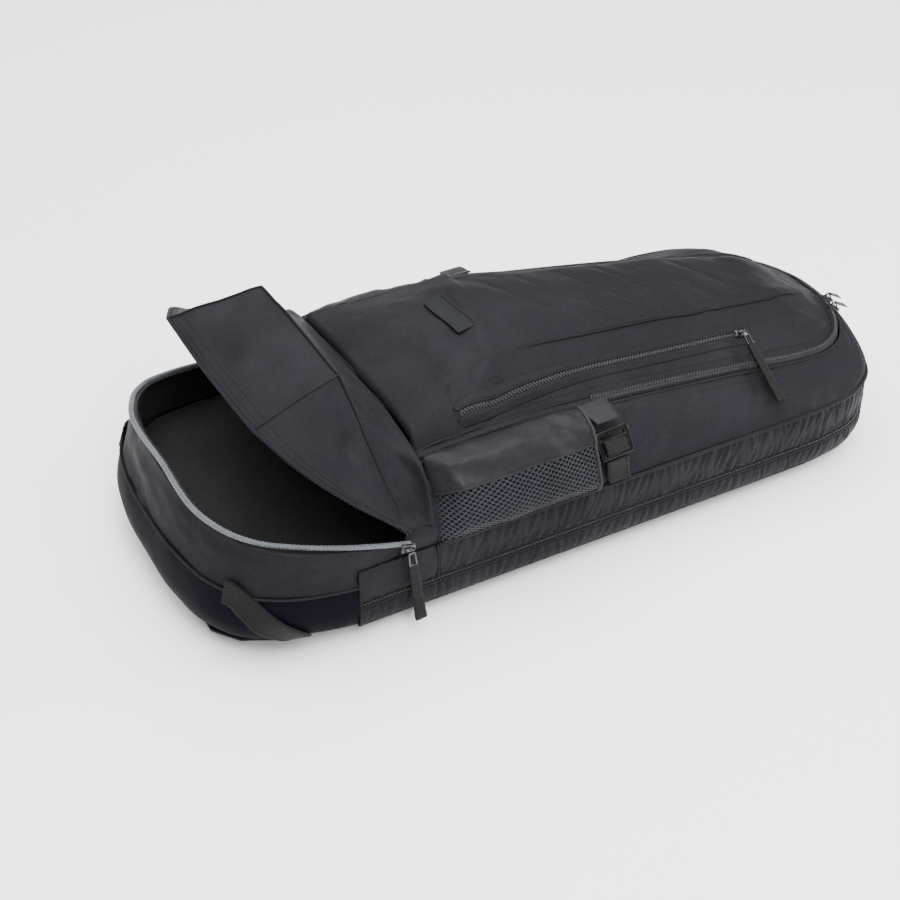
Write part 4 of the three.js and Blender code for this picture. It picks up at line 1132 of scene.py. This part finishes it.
def holed_mesh():
    """Spacer mesh: staggered oval holes through a springy face, dark where they are deepest."""
    material = woven("spacer mesh", (0.0062, 0.0070, 0.0092), (0.0145, 0.0162, 0.021), 0.55, 5200, 0.3, 0.02,
                     crumple=0.05, specular=0.15)
    tree = material.node_tree
    shader = tree.nodes["Principled BSDF"]
    link = tree.links.new
    where = tree.nodes.new("ShaderNodeTexCoord")
    spread = tree.nodes.new("ShaderNodeMapping")
    spread.inputs["Scale"].default_value = (150, 205, 1)
    link(where.outputs["UV"], spread.inputs["Vector"])
    depths = []
    for shift in (0.0, 0.5):
        move = tree.nodes.new("ShaderNodeVectorMath")
        move.operation = "ADD"
        move.inputs[1].default_value = (shift, shift, 0)
        link(spread.outputs["Vector"], move.inputs[0])
        part = tree.nodes.new("ShaderNodeVectorMath")
        part.operation = "FRACTION"
        link(move.outputs["Vector"], part.inputs[0])
        centre = tree.nodes.new("ShaderNodeVectorMath")
        centre.operation = "SUBTRACT"
        centre.inputs[1].default_value = (0.5, 0.5, 0)
        link(part.outputs["Vector"], centre.inputs[0])
        away = tree.nodes.new("ShaderNodeVectorMath")
        away.operation = "LENGTH"
        link(centre.outputs["Vector"], away.inputs[0])
        depths.append(away.outputs["Value"])
    least = tree.nodes.new("ShaderNodeMath")
    least.operation = "MINIMUM"
    link(depths[0], least.inputs[0])
    link(depths[1], least.inputs[1])
    solid = tree.nodes.new("ShaderNodeMapRange")
    solid.inputs["From Min"].default_value = 0.215
    solid.inputs["From Max"].default_value = 0.27
    link(least.outputs[0], solid.inputs["Value"])
    link(solid.outputs["Result"], shader.inputs["Alpha"])
    ridge = tree.nodes.new("ShaderNodeBump")
    ridge.inputs["Strength"].default_value = 0.7
    ridge.inputs["Distance"].default_value = 0.0012
    link(least.outputs[0], ridge.inputs["Height"])
    link(ridge.outputs["Normal"], shader.inputs["Normal"])
    return material


MESH_CLOTH = holed_mesh()
POCKET_FOLDS = [
    ((-140, -150, 160), (-60, -158, 140), 7, 2.2), ((-30, -140, 158), (2, -158, 128), 6, -3.0),
    ((-16, -136, 158), (6, -150, 134), 4, 2.6), ((-60, -142, 160), (0, -160, 126), 8, -2.2),
    ((-110, -150, 152), (-40, -164, 132), 7, -1.8), ((-148, -150, 150), (-120, -170, 128), 6, 2.2),
]
for side, tag in ((-1, "near"), (1, "far")):
    centre = (-70, side * 60, 100)
    mesh_sheet = pocket_sheet(side, 0.015, 0.545)
    out = outward(mesh_sheet, centre)
    u, v = measured(mesh_sheet)
    soft = np.stack([u, v, np.zeros_like(u)], axis=-1)
    lift = 1.2 * rumple(soft, (40, 26, 1), 81) + 0.5 * rumple(soft, (14, 16, 1), 82)
    mesh_sheet = mesh_sheet + out * lift[..., None]
    pocket_mesh = cut_and_laid("pocket_mesh_" + tag, mesh_sheet, 0, [MESH_CLOTH], centre)
    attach(pocket_mesh, "main_tub")
    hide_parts("side_pocket_mesh_" + tag)
    satin_sheet = through(pocket_sheet(side, 0.55, 0.975), 2.0)
    out = outward(satin_sheet, centre)
    folds = [((a[0], a[1] * -side, a[2]), (b[0], b[1] * -side, b[2]), w, d) for a, b, w, d in POCKET_FOLDS]
    satin_sheet = creased(satin_sheet, out, folds)
    u, v = measured(satin_sheet)
    soft = np.stack([u + 0.5 * v, v, np.zeros_like(u)], axis=-1)
    gather = np.clip((satin_sheet[..., 0] + 40) / 46, 0, 1)
    lift = 2.0 * rumple(soft, (34, 22, 1), 83) + 0.9 * rumple(soft, (13, 14, 1), 84)
    lift = lift + 2.2 * gather * rumple(soft, (30, 6, 1), 85)
    satin_sheet = satin_sheet + out * lift[..., None]
    pocket_satin = cut_and_laid("pocket_satin_" + tag, satin_sheet, 1.2, [SATIN, LINING], centre)
    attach(pocket_satin, "main_tub")
    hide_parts("side_pocket_cloth_" + tag)
    out_low = outward(satin_sheet, centre)
    for name, line, radius in (("pocket_join_", satin_sheet[0] + out_low[0] * 0.2, 1.1),
                               ("pocket_top_seam_", satin_sheet[-1], 1.0),
                               ("pocket_foot_seam_", mesh_sheet[0] + out[0] * 0.2, 1.1)):
        seam = piping(name + tag, line, radius, SATIN if "join" in name else SHELL)
        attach(seam, "main_tub")
    mouth = np.concatenate([mesh_sheet[:, -1], satin_sheet[:, -1]])
    mouth_elastic = piping("pocket_mouth_elastic_" + tag, mouth, 1.7, TAPE)
    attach(mouth_elastic, "main_tub")

# Pocket straps: a tapered tab of pocket satin, a moulded ladder lock hung on it, and the tail of webbing that
# comes down from the lock to the piped seam. Webbing is ribbed polyamide; the lock is glossy acetal.
STRAP_X = 27.0
STRAP_ACROSS = [(1, 0.02, 0)] * 4
TAB_WIDTHS = (33, 25)
WEBBING = woven("webbing", (0.0008, 0.0008, 0.0010), (0.0034, 0.0034, 0.0040), 0.55, 2700, 0.5, 0.01,
                crumple=0.1, twill=0.2, specular=0.14)
ACETAL = plain("acetal", (0.0016, 0.0016, 0.0019), 0.24, grain=300, bump=0.04, specular=0.25)


def strap(name, points, across, outs, width, thickness, material, step=1.5):
    """A flat band through points, and its outer face. The width may be a pair, for a tapered band."""
    line = through(np.array(points, float), step)
    at = np.linspace(0, 1, len(line))
    mark = np.linspace(0, 1, len(points))
    side = np.column_stack([np.interp(at, mark, np.array(across, float)[:, k]) for k in range(3)])
    out = np.column_stack([np.interp(at, mark, np.array(outs, float)[:, k]) for k in range(3)])
    side /= np.linalg.norm(side, axis=1, keepdims=True)
    out /= np.linalg.norm(out, axis=1, keepdims=True)
    rows = []
    wide = np.linspace(*np.broadcast_to(width, 2), len(line))[:, None]
    for s in np.linspace(-0.5, 0.5, 9):
        drop = 0.35 * (abs(s) > 0.45)
        rows.append(line + side * wide * s + out * (thickness - drop))
    middle = line.mean(0) - out.mean(0) * 200
    band = cut_and_laid(name, np.array(rows), thickness, [material], middle)
    soft = band.modifiers.new("worn edge", "BEVEL")
    soft.width = 0.0004
    soft.segments = 2
    return band, line + out * (thickness + 0.1), out


def taken_from(node, name, material, bevel):
    """A moulded copy of a hard part with its edges eased."""
    bm = bmesh.new()
    bm.from_mesh(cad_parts[node].data)
    bmesh.ops.remove_doubles(bm, verts=bm.verts, dist=1e-5)
    bmesh.ops.dissolve_limit(bm, angle_limit=math.radians(2), verts=bm.verts, edges=bm.edges)
    sharp = [e for e in bm.edges if len(e.link_faces) == 2 and e.calc_face_angle(0) > math.radians(25)]
    bmesh.ops.bevel(bm, geom=sharp, offset=bevel * MM, segments=3, profile=0.5, affect="EDGES", material=-1,
                    clamp_overlap=True)
    piece = finished(bm, name, material)
    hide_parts(node)
    return piece


for side, tag in ((-1, "near"), (1, "far")):
    way = np.array((0, side * 0.85, 0.5)) / math.hypot(0.85, 0.5)

    def strap_spot(x, share, lift):
        return on_side(side, x, share, lift)[0]

    tab_spots = [strap_spot(STRAP_X + past, share, lift)
                 for past, share, lift in ((-5, 1.0, 1.5), (-4, 0.95, 4.4), (-2, 0.86, 12), (0, 0.77, 18.6))]
    tab, face, out = strap("pocket_strap_tab_" + tag, tab_spots, STRAP_ACROSS, [way] * 4, TAB_WIDTHS, 2.0,
                           SATIN)
    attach(tab, "main_tub")
    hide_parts("strap_tab_" + tag)
    tail_spots = [strap_spot(STRAP_X + past, share, lift)
                  for past, share, lift in ((2, 0.29, 14.6), (2.4, 0.22, 12), (3, 0.13, 8), (4, 0.02, 5.2))]
    tail, face, out = strap("pocket_strap_tail_" + tag, tail_spots, STRAP_ACROSS, [way] * 4, 24, 2.0, WEBBING)
    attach(tail, "main_tub")
    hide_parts("buckle_webbing_" + tag)
    for name, offset in (("pocket_strap_stitching_a_", -9.5), ("pocket_strap_stitching_b_", 9.5)):
        line = face + np.array((offset, 0, 0))
        row = stitched(name + tag, line, np.tile(way, (len(line), 1)))
        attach(row, "main_tub")
    lock = taken_from("ladder_lock_" + tag, "ladder_lock_moulding_" + tag, ACETAL, 0.9)
    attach(lock, "lock_" + tag)
    foot = strap_spot(STRAP_X + 2, 0.3, 17) + (0, side * 1, 3)
    up = strap_spot(STRAP_X, 0.77, 19) + (0, side * 1, -3) - foot
    up /= np.linalg.norm(up)
    over = -np.cross((1, 0, 0), up) * side
    over /= np.linalg.norm(over)
    loops = [foot + up * 2.6 - over * 2.4, foot + up * 5.6 + over * 0.6, foot + up * 11 + over * 1.1,
             foot + up * 16 + over * 0.6, foot + up * 18.6 - over * 2.4]
    loop, face, out = strap("lock_webbing_" + tag, loops, [(1, 0, 0)] * 5, [over] * 5, 23, 1.4, WEBBING, 1.0)
    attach(loop, "lock_" + tag)

# Lower straps: webbing sewn from the boot's toe down to the back panel's edge, where a shoulder strap would
# be buckled. Both ends are fixed, with a bar of stitching at each.
LOWER_STRAP = [(-349, 127, 90), (-345, 133, 80), (-334, 145, 66), (-321, 156, 52), (-309, 163, 38),
               (-298, 166, 26), (-291, 163, 17)]
for side, tag in ((-1, "near"), (1, "far")):
    spots, outs = [], []
    for x, y, z in LOWER_STRAP:
        away = np.linalg.norm(boot - (x, side * y, z), axis=-1)
        i, j = np.unravel_index(np.argmin(away), away.shape)
        spots.append(boot[i, j] + boot_out[i, j] * 0.9)
        outs.append(boot_out[i, j])
    across = np.cross(np.array(outs), np.gradient(np.array(spots), axis=0))
    lower, face, out = strap("lower_strap_webbing_" + tag, spots, across, outs, 24, 1.6, WEBBING)
    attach(lower, "back_shell")
    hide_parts("lower_strap_" + tag)
    for name, offset in (("a", -9.6), ("b", 9.6)):
        beside = np.cross(out, np.gradient(face, axis=0))
        line = face + beside / np.linalg.norm(beside, axis=1, keepdims=True) * offset
        row = stitched(f"lower_strap_stitching_{name}_{tag}", line, out)
        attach(row, "back_shell")

# Shoulder straps: foam straps under the bag, covered in mesh and sewn to the top of the back panel. They
# are pressed between the back panel and the ground.
SHOULDER = [(248, 84, 44), (200, 104, 56), (120, 112, 62), (0, 114, 62), (-100, 114, 54), (-150, 118, 36)]
for side, tag in ((-1, "near"), (1, "far")):
    line = through(np.array([(x, y * side, w) for x, y, w in SHOULDER], float), 6)
    bm = bmesh.new()
    bmesh.ops.create_grid(bm, x_segments=len(line) - 1, y_segments=10, size=0.5)
    for vert in bm.verts:
        x, y, width = line[int(round((vert.co.x + 0.5) * (len(line) - 1)))]
        vert.co = Vector((x, y + (width - 5) * vert.co.y, 7.6)) * MM
    bmesh.ops.solidify(bm, geom=list(bm.faces), thickness=0.0062)
    bmesh.ops.recalc_face_normals(bm, faces=bm.faces)
    shoulder = finished(bm, "shoulder_strap_cover_" + tag, PAD_MESH)
    puffed(shoulder, 0.004, 1.5, 0.0012)
    held = np.array([v.co for v in shoulder.data.vertices])
    held[:, 2] = np.clip(held[:, 2], 0.0005, 0.0092)
    shoulder.data.vertices.foreach_set("co", held.ravel())
    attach(shoulder, "strap_" + tag)
    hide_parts("shoulder_strap_" + tag)

# Grab handle: a doubled webbing loop across the handle end, sewn flat at both ends over the lower gusset
# and standing off the bag in the middle.
HANDLE = [(108, 28, 2.2), (104, 30, 3.6), (88, 44, 6.5), (62, 62, 9), (30, 72, 9), (0, 75, 9)]
spots, outs = [], []
for y, z, lift in mirrored(HANDLE):
    x = looked_up([(s[1], s[0]) for s in STATIONS], abs(y))[0]
    out = np.array((1, 0.75 * y / 104, 0))
    out /= np.linalg.norm(out)
    spots.append(np.array((x, y, z)) + out * lift)
    outs.append(out)
handle, face, out = strap("grab_handle_webbing", spots, [(0, 0, 1)] * len(spots), outs, 20, 2.2, WEBBING)
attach(handle, "handle")
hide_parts("grab_handle")
for name, offset in (("lower", -7.6), ("upper", 7.6)):
    row = stitched("grab_handle_stitching_" + name, face + np.array((0, 0, offset)), out)
    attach(row, "handle")

# Zip sliders and pulls: die-cast sliders with an arched bridge, a wire-edged link hung on it and, on the
# front pocket and the shoe compartment, a long ribbed tab.
DARK_METAL = plain("gunmetal", (0.055, 0.055, 0.06), 0.22, metallic=1.0, grain=1400, bump=0.05)
PULL_LINK, PULL_TAB, PIVOT_LIFT = 15.0, 64.0, 7.1


def basis(a, b, c, place):
    """A matrix with the given axes at a place in mm."""
    return Matrix.Translation(Vector(place) * MM) @ Matrix((a, b, c)).transposed().to_4x4()


def unit(v):
    v = np.asarray(v, float)
    return v / np.linalg.norm(v)


def slider_casting(name, matrix, material):
    """Two shield-shaped plates on a neck with an arched bridge over them; x runs along the zip."""
    bm = bmesh.new()
    for low, high in ((0.0, 0.9), (1.5, 2.5)):
        made = bmesh.ops.create_cube(bm, size=1, matrix=Matrix.Translation((0, 0, (low + high) / 2 * MM))
                                     @ Matrix.Diagonal((13 * MM, 9 * MM, (high - low) * MM, 1)))
        for vert in made["verts"]:
            if vert.co.x < 0:
                vert.co.y *= 0.72
    bmesh.ops.create_cube(bm, size=1, matrix=Matrix.Translation((2.5 * MM, 0, 1.2 * MM))
                          @ Matrix.Diagonal((4 * MM, 3 * MM, 1.4 * MM, 1)))
    bmesh.ops.bevel(bm, geom=list(bm.edges), offset=0.0004, segments=2, profile=0.5, affect="EDGES",
                    material=-1)
    ring = bmesh.ops.create_circle(bm, cap_ends=False, segments=10, radius=0.9 * MM,
                                   matrix=Matrix.Translation((-4.4 * MM, 0, 2.2 * MM)))
    edges = list({e for v in ring["verts"] for e in v.link_edges})
    bmesh.ops.spin(bm, geom=edges, cent=(0, 0, 2.2 * MM), axis=(0, 1, 0), angle=math.pi, steps=14,
                   use_merge=False)
    for vert in bm.verts:
        if vert.co.z > 2.6 * MM:
            vert.co.z = (2.6 + (vert.co.z / MM - 2.6) * 0.86) * MM
    bmesh.ops.recalc_face_normals(bm, faces=bm.faces)
    bm.transform(matrix)
    return finished(bm, name, material)


def pull_link(name, matrix, material):
    """A long flat ring that hangs on the slider's bridge."""
    bm = bmesh.new()
    bmesh.ops.create_grid(bm, x_segments=1, y_segments=1, size=0.5)
    for vert in bm.verts:
        t = vert.co.y + 0.5
        vert.co = Vector((math.copysign(3.6 + 0.6 * t, vert.co.x), t * PULL_LINK, -0.75)) * MM
    bmesh.ops.bevel(bm, geom=list(bm.verts), offset=1.2 * MM, segments=3, profile=0.5, affect="VERTICES",
                    material=-1)
    face = bm.faces[:][0]
    bmesh.ops.inset_region(bm, faces=[face], thickness=1.7 * MM, use_boundary=True)
    bmesh.ops.delete(bm, geom=[face], context="FACES_ONLY")
    bmesh.ops.solidify(bm, geom=list(bm.faces), thickness=1.5 * MM)
    bmesh.ops.recalc_face_normals(bm, faces=bm.faces)
    rims = [e for e in bm.edges if len(e.link_faces) == 2 and e.calc_face_angle(0) > 1.0]
    bmesh.ops.bevel(bm, geom=rims, offset=0.00035, segments=2, profile=0.5, affect="EDGES", material=-1)
    low = min(v.co.z for v in bm.verts)
    for vert in bm.verts:
        vert.co.z += -0.75 * MM - low
    bm.transform(matrix)
    return finished(bm, name, material)


def pull_tab(name, matrix, material):
    """A folded webbing tab with a stitched fold and a thicker moulded tip."""
    bm = bmesh.new()
    bmesh.ops.create_grid(bm, x_segments=8, y_segments=60, size=0.5)
    chart = bm.loops.layers.uv.new("cloth")
    for vert in bm.verts:
        s, t = vert.co.x, vert.co.y + 0.5
        width = 9.4 + 1.3 * t + 0.9 * math.exp(-((t - 0.94) / 0.05) ** 2) - 3.4 * math.exp(-(t / 0.03) ** 2)
        high = 1.05 * (1 - 0.55 * (2 * abs(s)) ** 4) + 0.22 * math.sin(t * 64 * 2.6) * (0.04 < t < 0.86)
        high += 0.3 * (t > 0.88)
        vert.co = Vector((s * width, PULL_LINK - 1.2 + t * (PULL_TAB + 1.0), high)) * MM
        for loop in vert.link_loops:
            loop[chart].uv = (s * width * MM, t * PULL_TAB * MM)
    bmesh.ops.solidify(bm, geom=list(bm.faces), thickness=2.2 * MM)
    bmesh.ops.recalc_face_normals(bm, faces=bm.faces)
    top_z = max(v.co.z for v in bm.verts)
    for vert in bm.verts:
        vert.co.z -= top_z - 1.3 * MM
    bm.transform(matrix)
    return finished(bm, name, material)


def hung_slider(name, place, along, out, hang, tab, slider_body, pull_body):
    """Puts a slider on its zip with its pull hanging from the bridge."""
    along, out = unit(along), unit(out)
    casting = slider_casting(name + "_casting", basis(along, np.cross(out, along), out, place), DARK_METAL)
    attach(casting, slider_body)
    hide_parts(name + "_slider")
    down = unit(hang)
    face = unit(out - down * np.dot(out, down))
    pivot = np.asarray(place, float) + out * PIVOT_LIFT + down
    lie = basis(np.cross(down, face), down, face, pivot)
    link = pull_link(name + "_link", lie, DARK_METAL)
    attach(link, pull_body)
    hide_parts(name + "_pull_link")
    if tab:
        woven_tab = pull_tab(name + "_tab", lie, WEBBING)
        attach(woven_tab, pull_body)
        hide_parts(name + "_pull_tab")


def straight_arch(x, y):
    """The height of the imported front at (x, y)."""
    half_width, ridge_z, centre_z = looked_up(RIDGE, x)
    zip_y, zip_z = looked_up(lid_edge, x)
    edge_y = max(zip_y, half_width + 4)
    rows = [(0, centre_z), (half_width / 2, centre_z), (half_width, ridge_z),
            ((edge_y + half_width) / 2, (zip_z + ridge_z) / 2 + 2), (edge_y, zip_z + 1)]
    return looked_up(rows, abs(y))[0]


def on_pocket_zip(x, lift):
    y = -looked_up(POCKET_ZIP, x)[0]
    slope = unit((0, 2, straight_arch(x, y + 1) - straight_arch(x, y - 1)))
    out = np.cross((1, 0, 0), slope)
    return np.array((x, y, straight_arch(x, y))) + out * lift, out


place, out = on_pocket_zip(222, 4.2)
along = unit(on_pocket_zip(222, 0)[0] - on_pocket_zip(60, 0)[0])
out = unit(out - along * np.dot(out, along))
hung_slider("pocket_zip", place, along, out, (0, -0.82, -0.5), True, "pocket_slider", "pocket_pull")
hung_slider("shoe_zip", (-190, -171, 97), (-math.cos(RIM_TILT), 0, math.sin(RIM_TILT)), (0, -1, 0),
            (0.1, -0.02, -1), True, "shoe_slider", "shoe_pull")
for name, y in (("main_zip_first", -47), ("main_zip_second", -30)):
    x = float(np.interp(-y, [0, 32, 62], [382, 379, 368]))
    z = looked_up(lid_edge, 370)[1] + 2
    hung_slider(name, (x + 1.6, y, z), (0, 1, 0), (0.26, 0, 0.966), (1, 0, -0.55), False,
                name.replace("zip", "slider"), name.replace("zip", "pull"))
hung_slider("racket_zip", (-224, 166.6, 43.7), (1, 0, 0), (0, 1, 0), (0, 0.02, -1), False, "racket_slider",
            "racket_pull")

# Studio: a pale floor, soft light from above and both sides, and the camera at head height off the bag's
# near corner.
floor_paint = bpy.data.materials.new("studio floor")
floor_paint.use_nodes = True
floor_paint.node_tree.nodes["Principled BSDF"].inputs["Base Color"].default_value = (0.9, 0.9, 0.9, 1)
floor_paint.node_tree.nodes["Principled BSDF"].inputs["Roughness"].default_value = 0.6
bm = bmesh.new()
bmesh.ops.create_grid(bm, x_segments=1, y_segments=1, size=6)
floor = finished(bm, "studio_floor", floor_paint)
floor.location.z = -0.0005
sky = bpy.data.worlds.new("studio")
bpy.context.scene.world = sky
sky.use_nodes = True
sky.node_tree.nodes["Background"].inputs["Color"].default_value = (1, 1, 1, 1)
sky.node_tree.nodes["Background"].inputs["Strength"].default_value = 0.5
for name, place, aim, size, power in (
    ("overhead", (0.0, 0.1, 2.8), (0, 0, 0), 4.0, 310),
    ("near_side", (-0.6, -2.2, 1.3), (0, 0, 0.1), 0.9, 32),
    ("over_near_side", (-0.3, -1.9, 2.5), (0, 0, 0.1), 1.0, 80),
    ("handle_end", (2.3, -0.9, 1.0), (0.1, 0, 0.1), 0.9, 46),
    ("behind", (0.6, 2.4, 1.5), (0.0, 0, 0.15), 1.4, 16),
):
    lamp = bpy.data.lights.new(name, "AREA")
    lamp.size = size
    lamp.energy = power
    light = bpy.data.objects.new(name, lamp)
    bpy.context.scene.collection.objects.link(light)
    light.location = place
    light.rotation_euler = (Vector(aim) - Vector(place)).to_track_quat("-Z", "Y").to_euler()
lens = bpy.data.cameras.new("photographer")
lens.lens = 67.31
lens.sensor_width = 36
lens.clip_end = 50
camera = bpy.data.objects.new("photographer", lens)
bpy.context.scene.collection.objects.link(camera)
right = Vector((0.87768, -0.47924, 0))
ahead = Vector((0.38219, 0.69995, -0.60333))
above = right.cross(ahead)
turned = Matrix((right, above, -ahead)).transposed().to_4x4()
camera.matrix_world = Matrix.Translation((-0.690, -1.163, 1.0425)) @ turned
bpy.context.scene.camera = camera
bpy.context.view_layer.update()
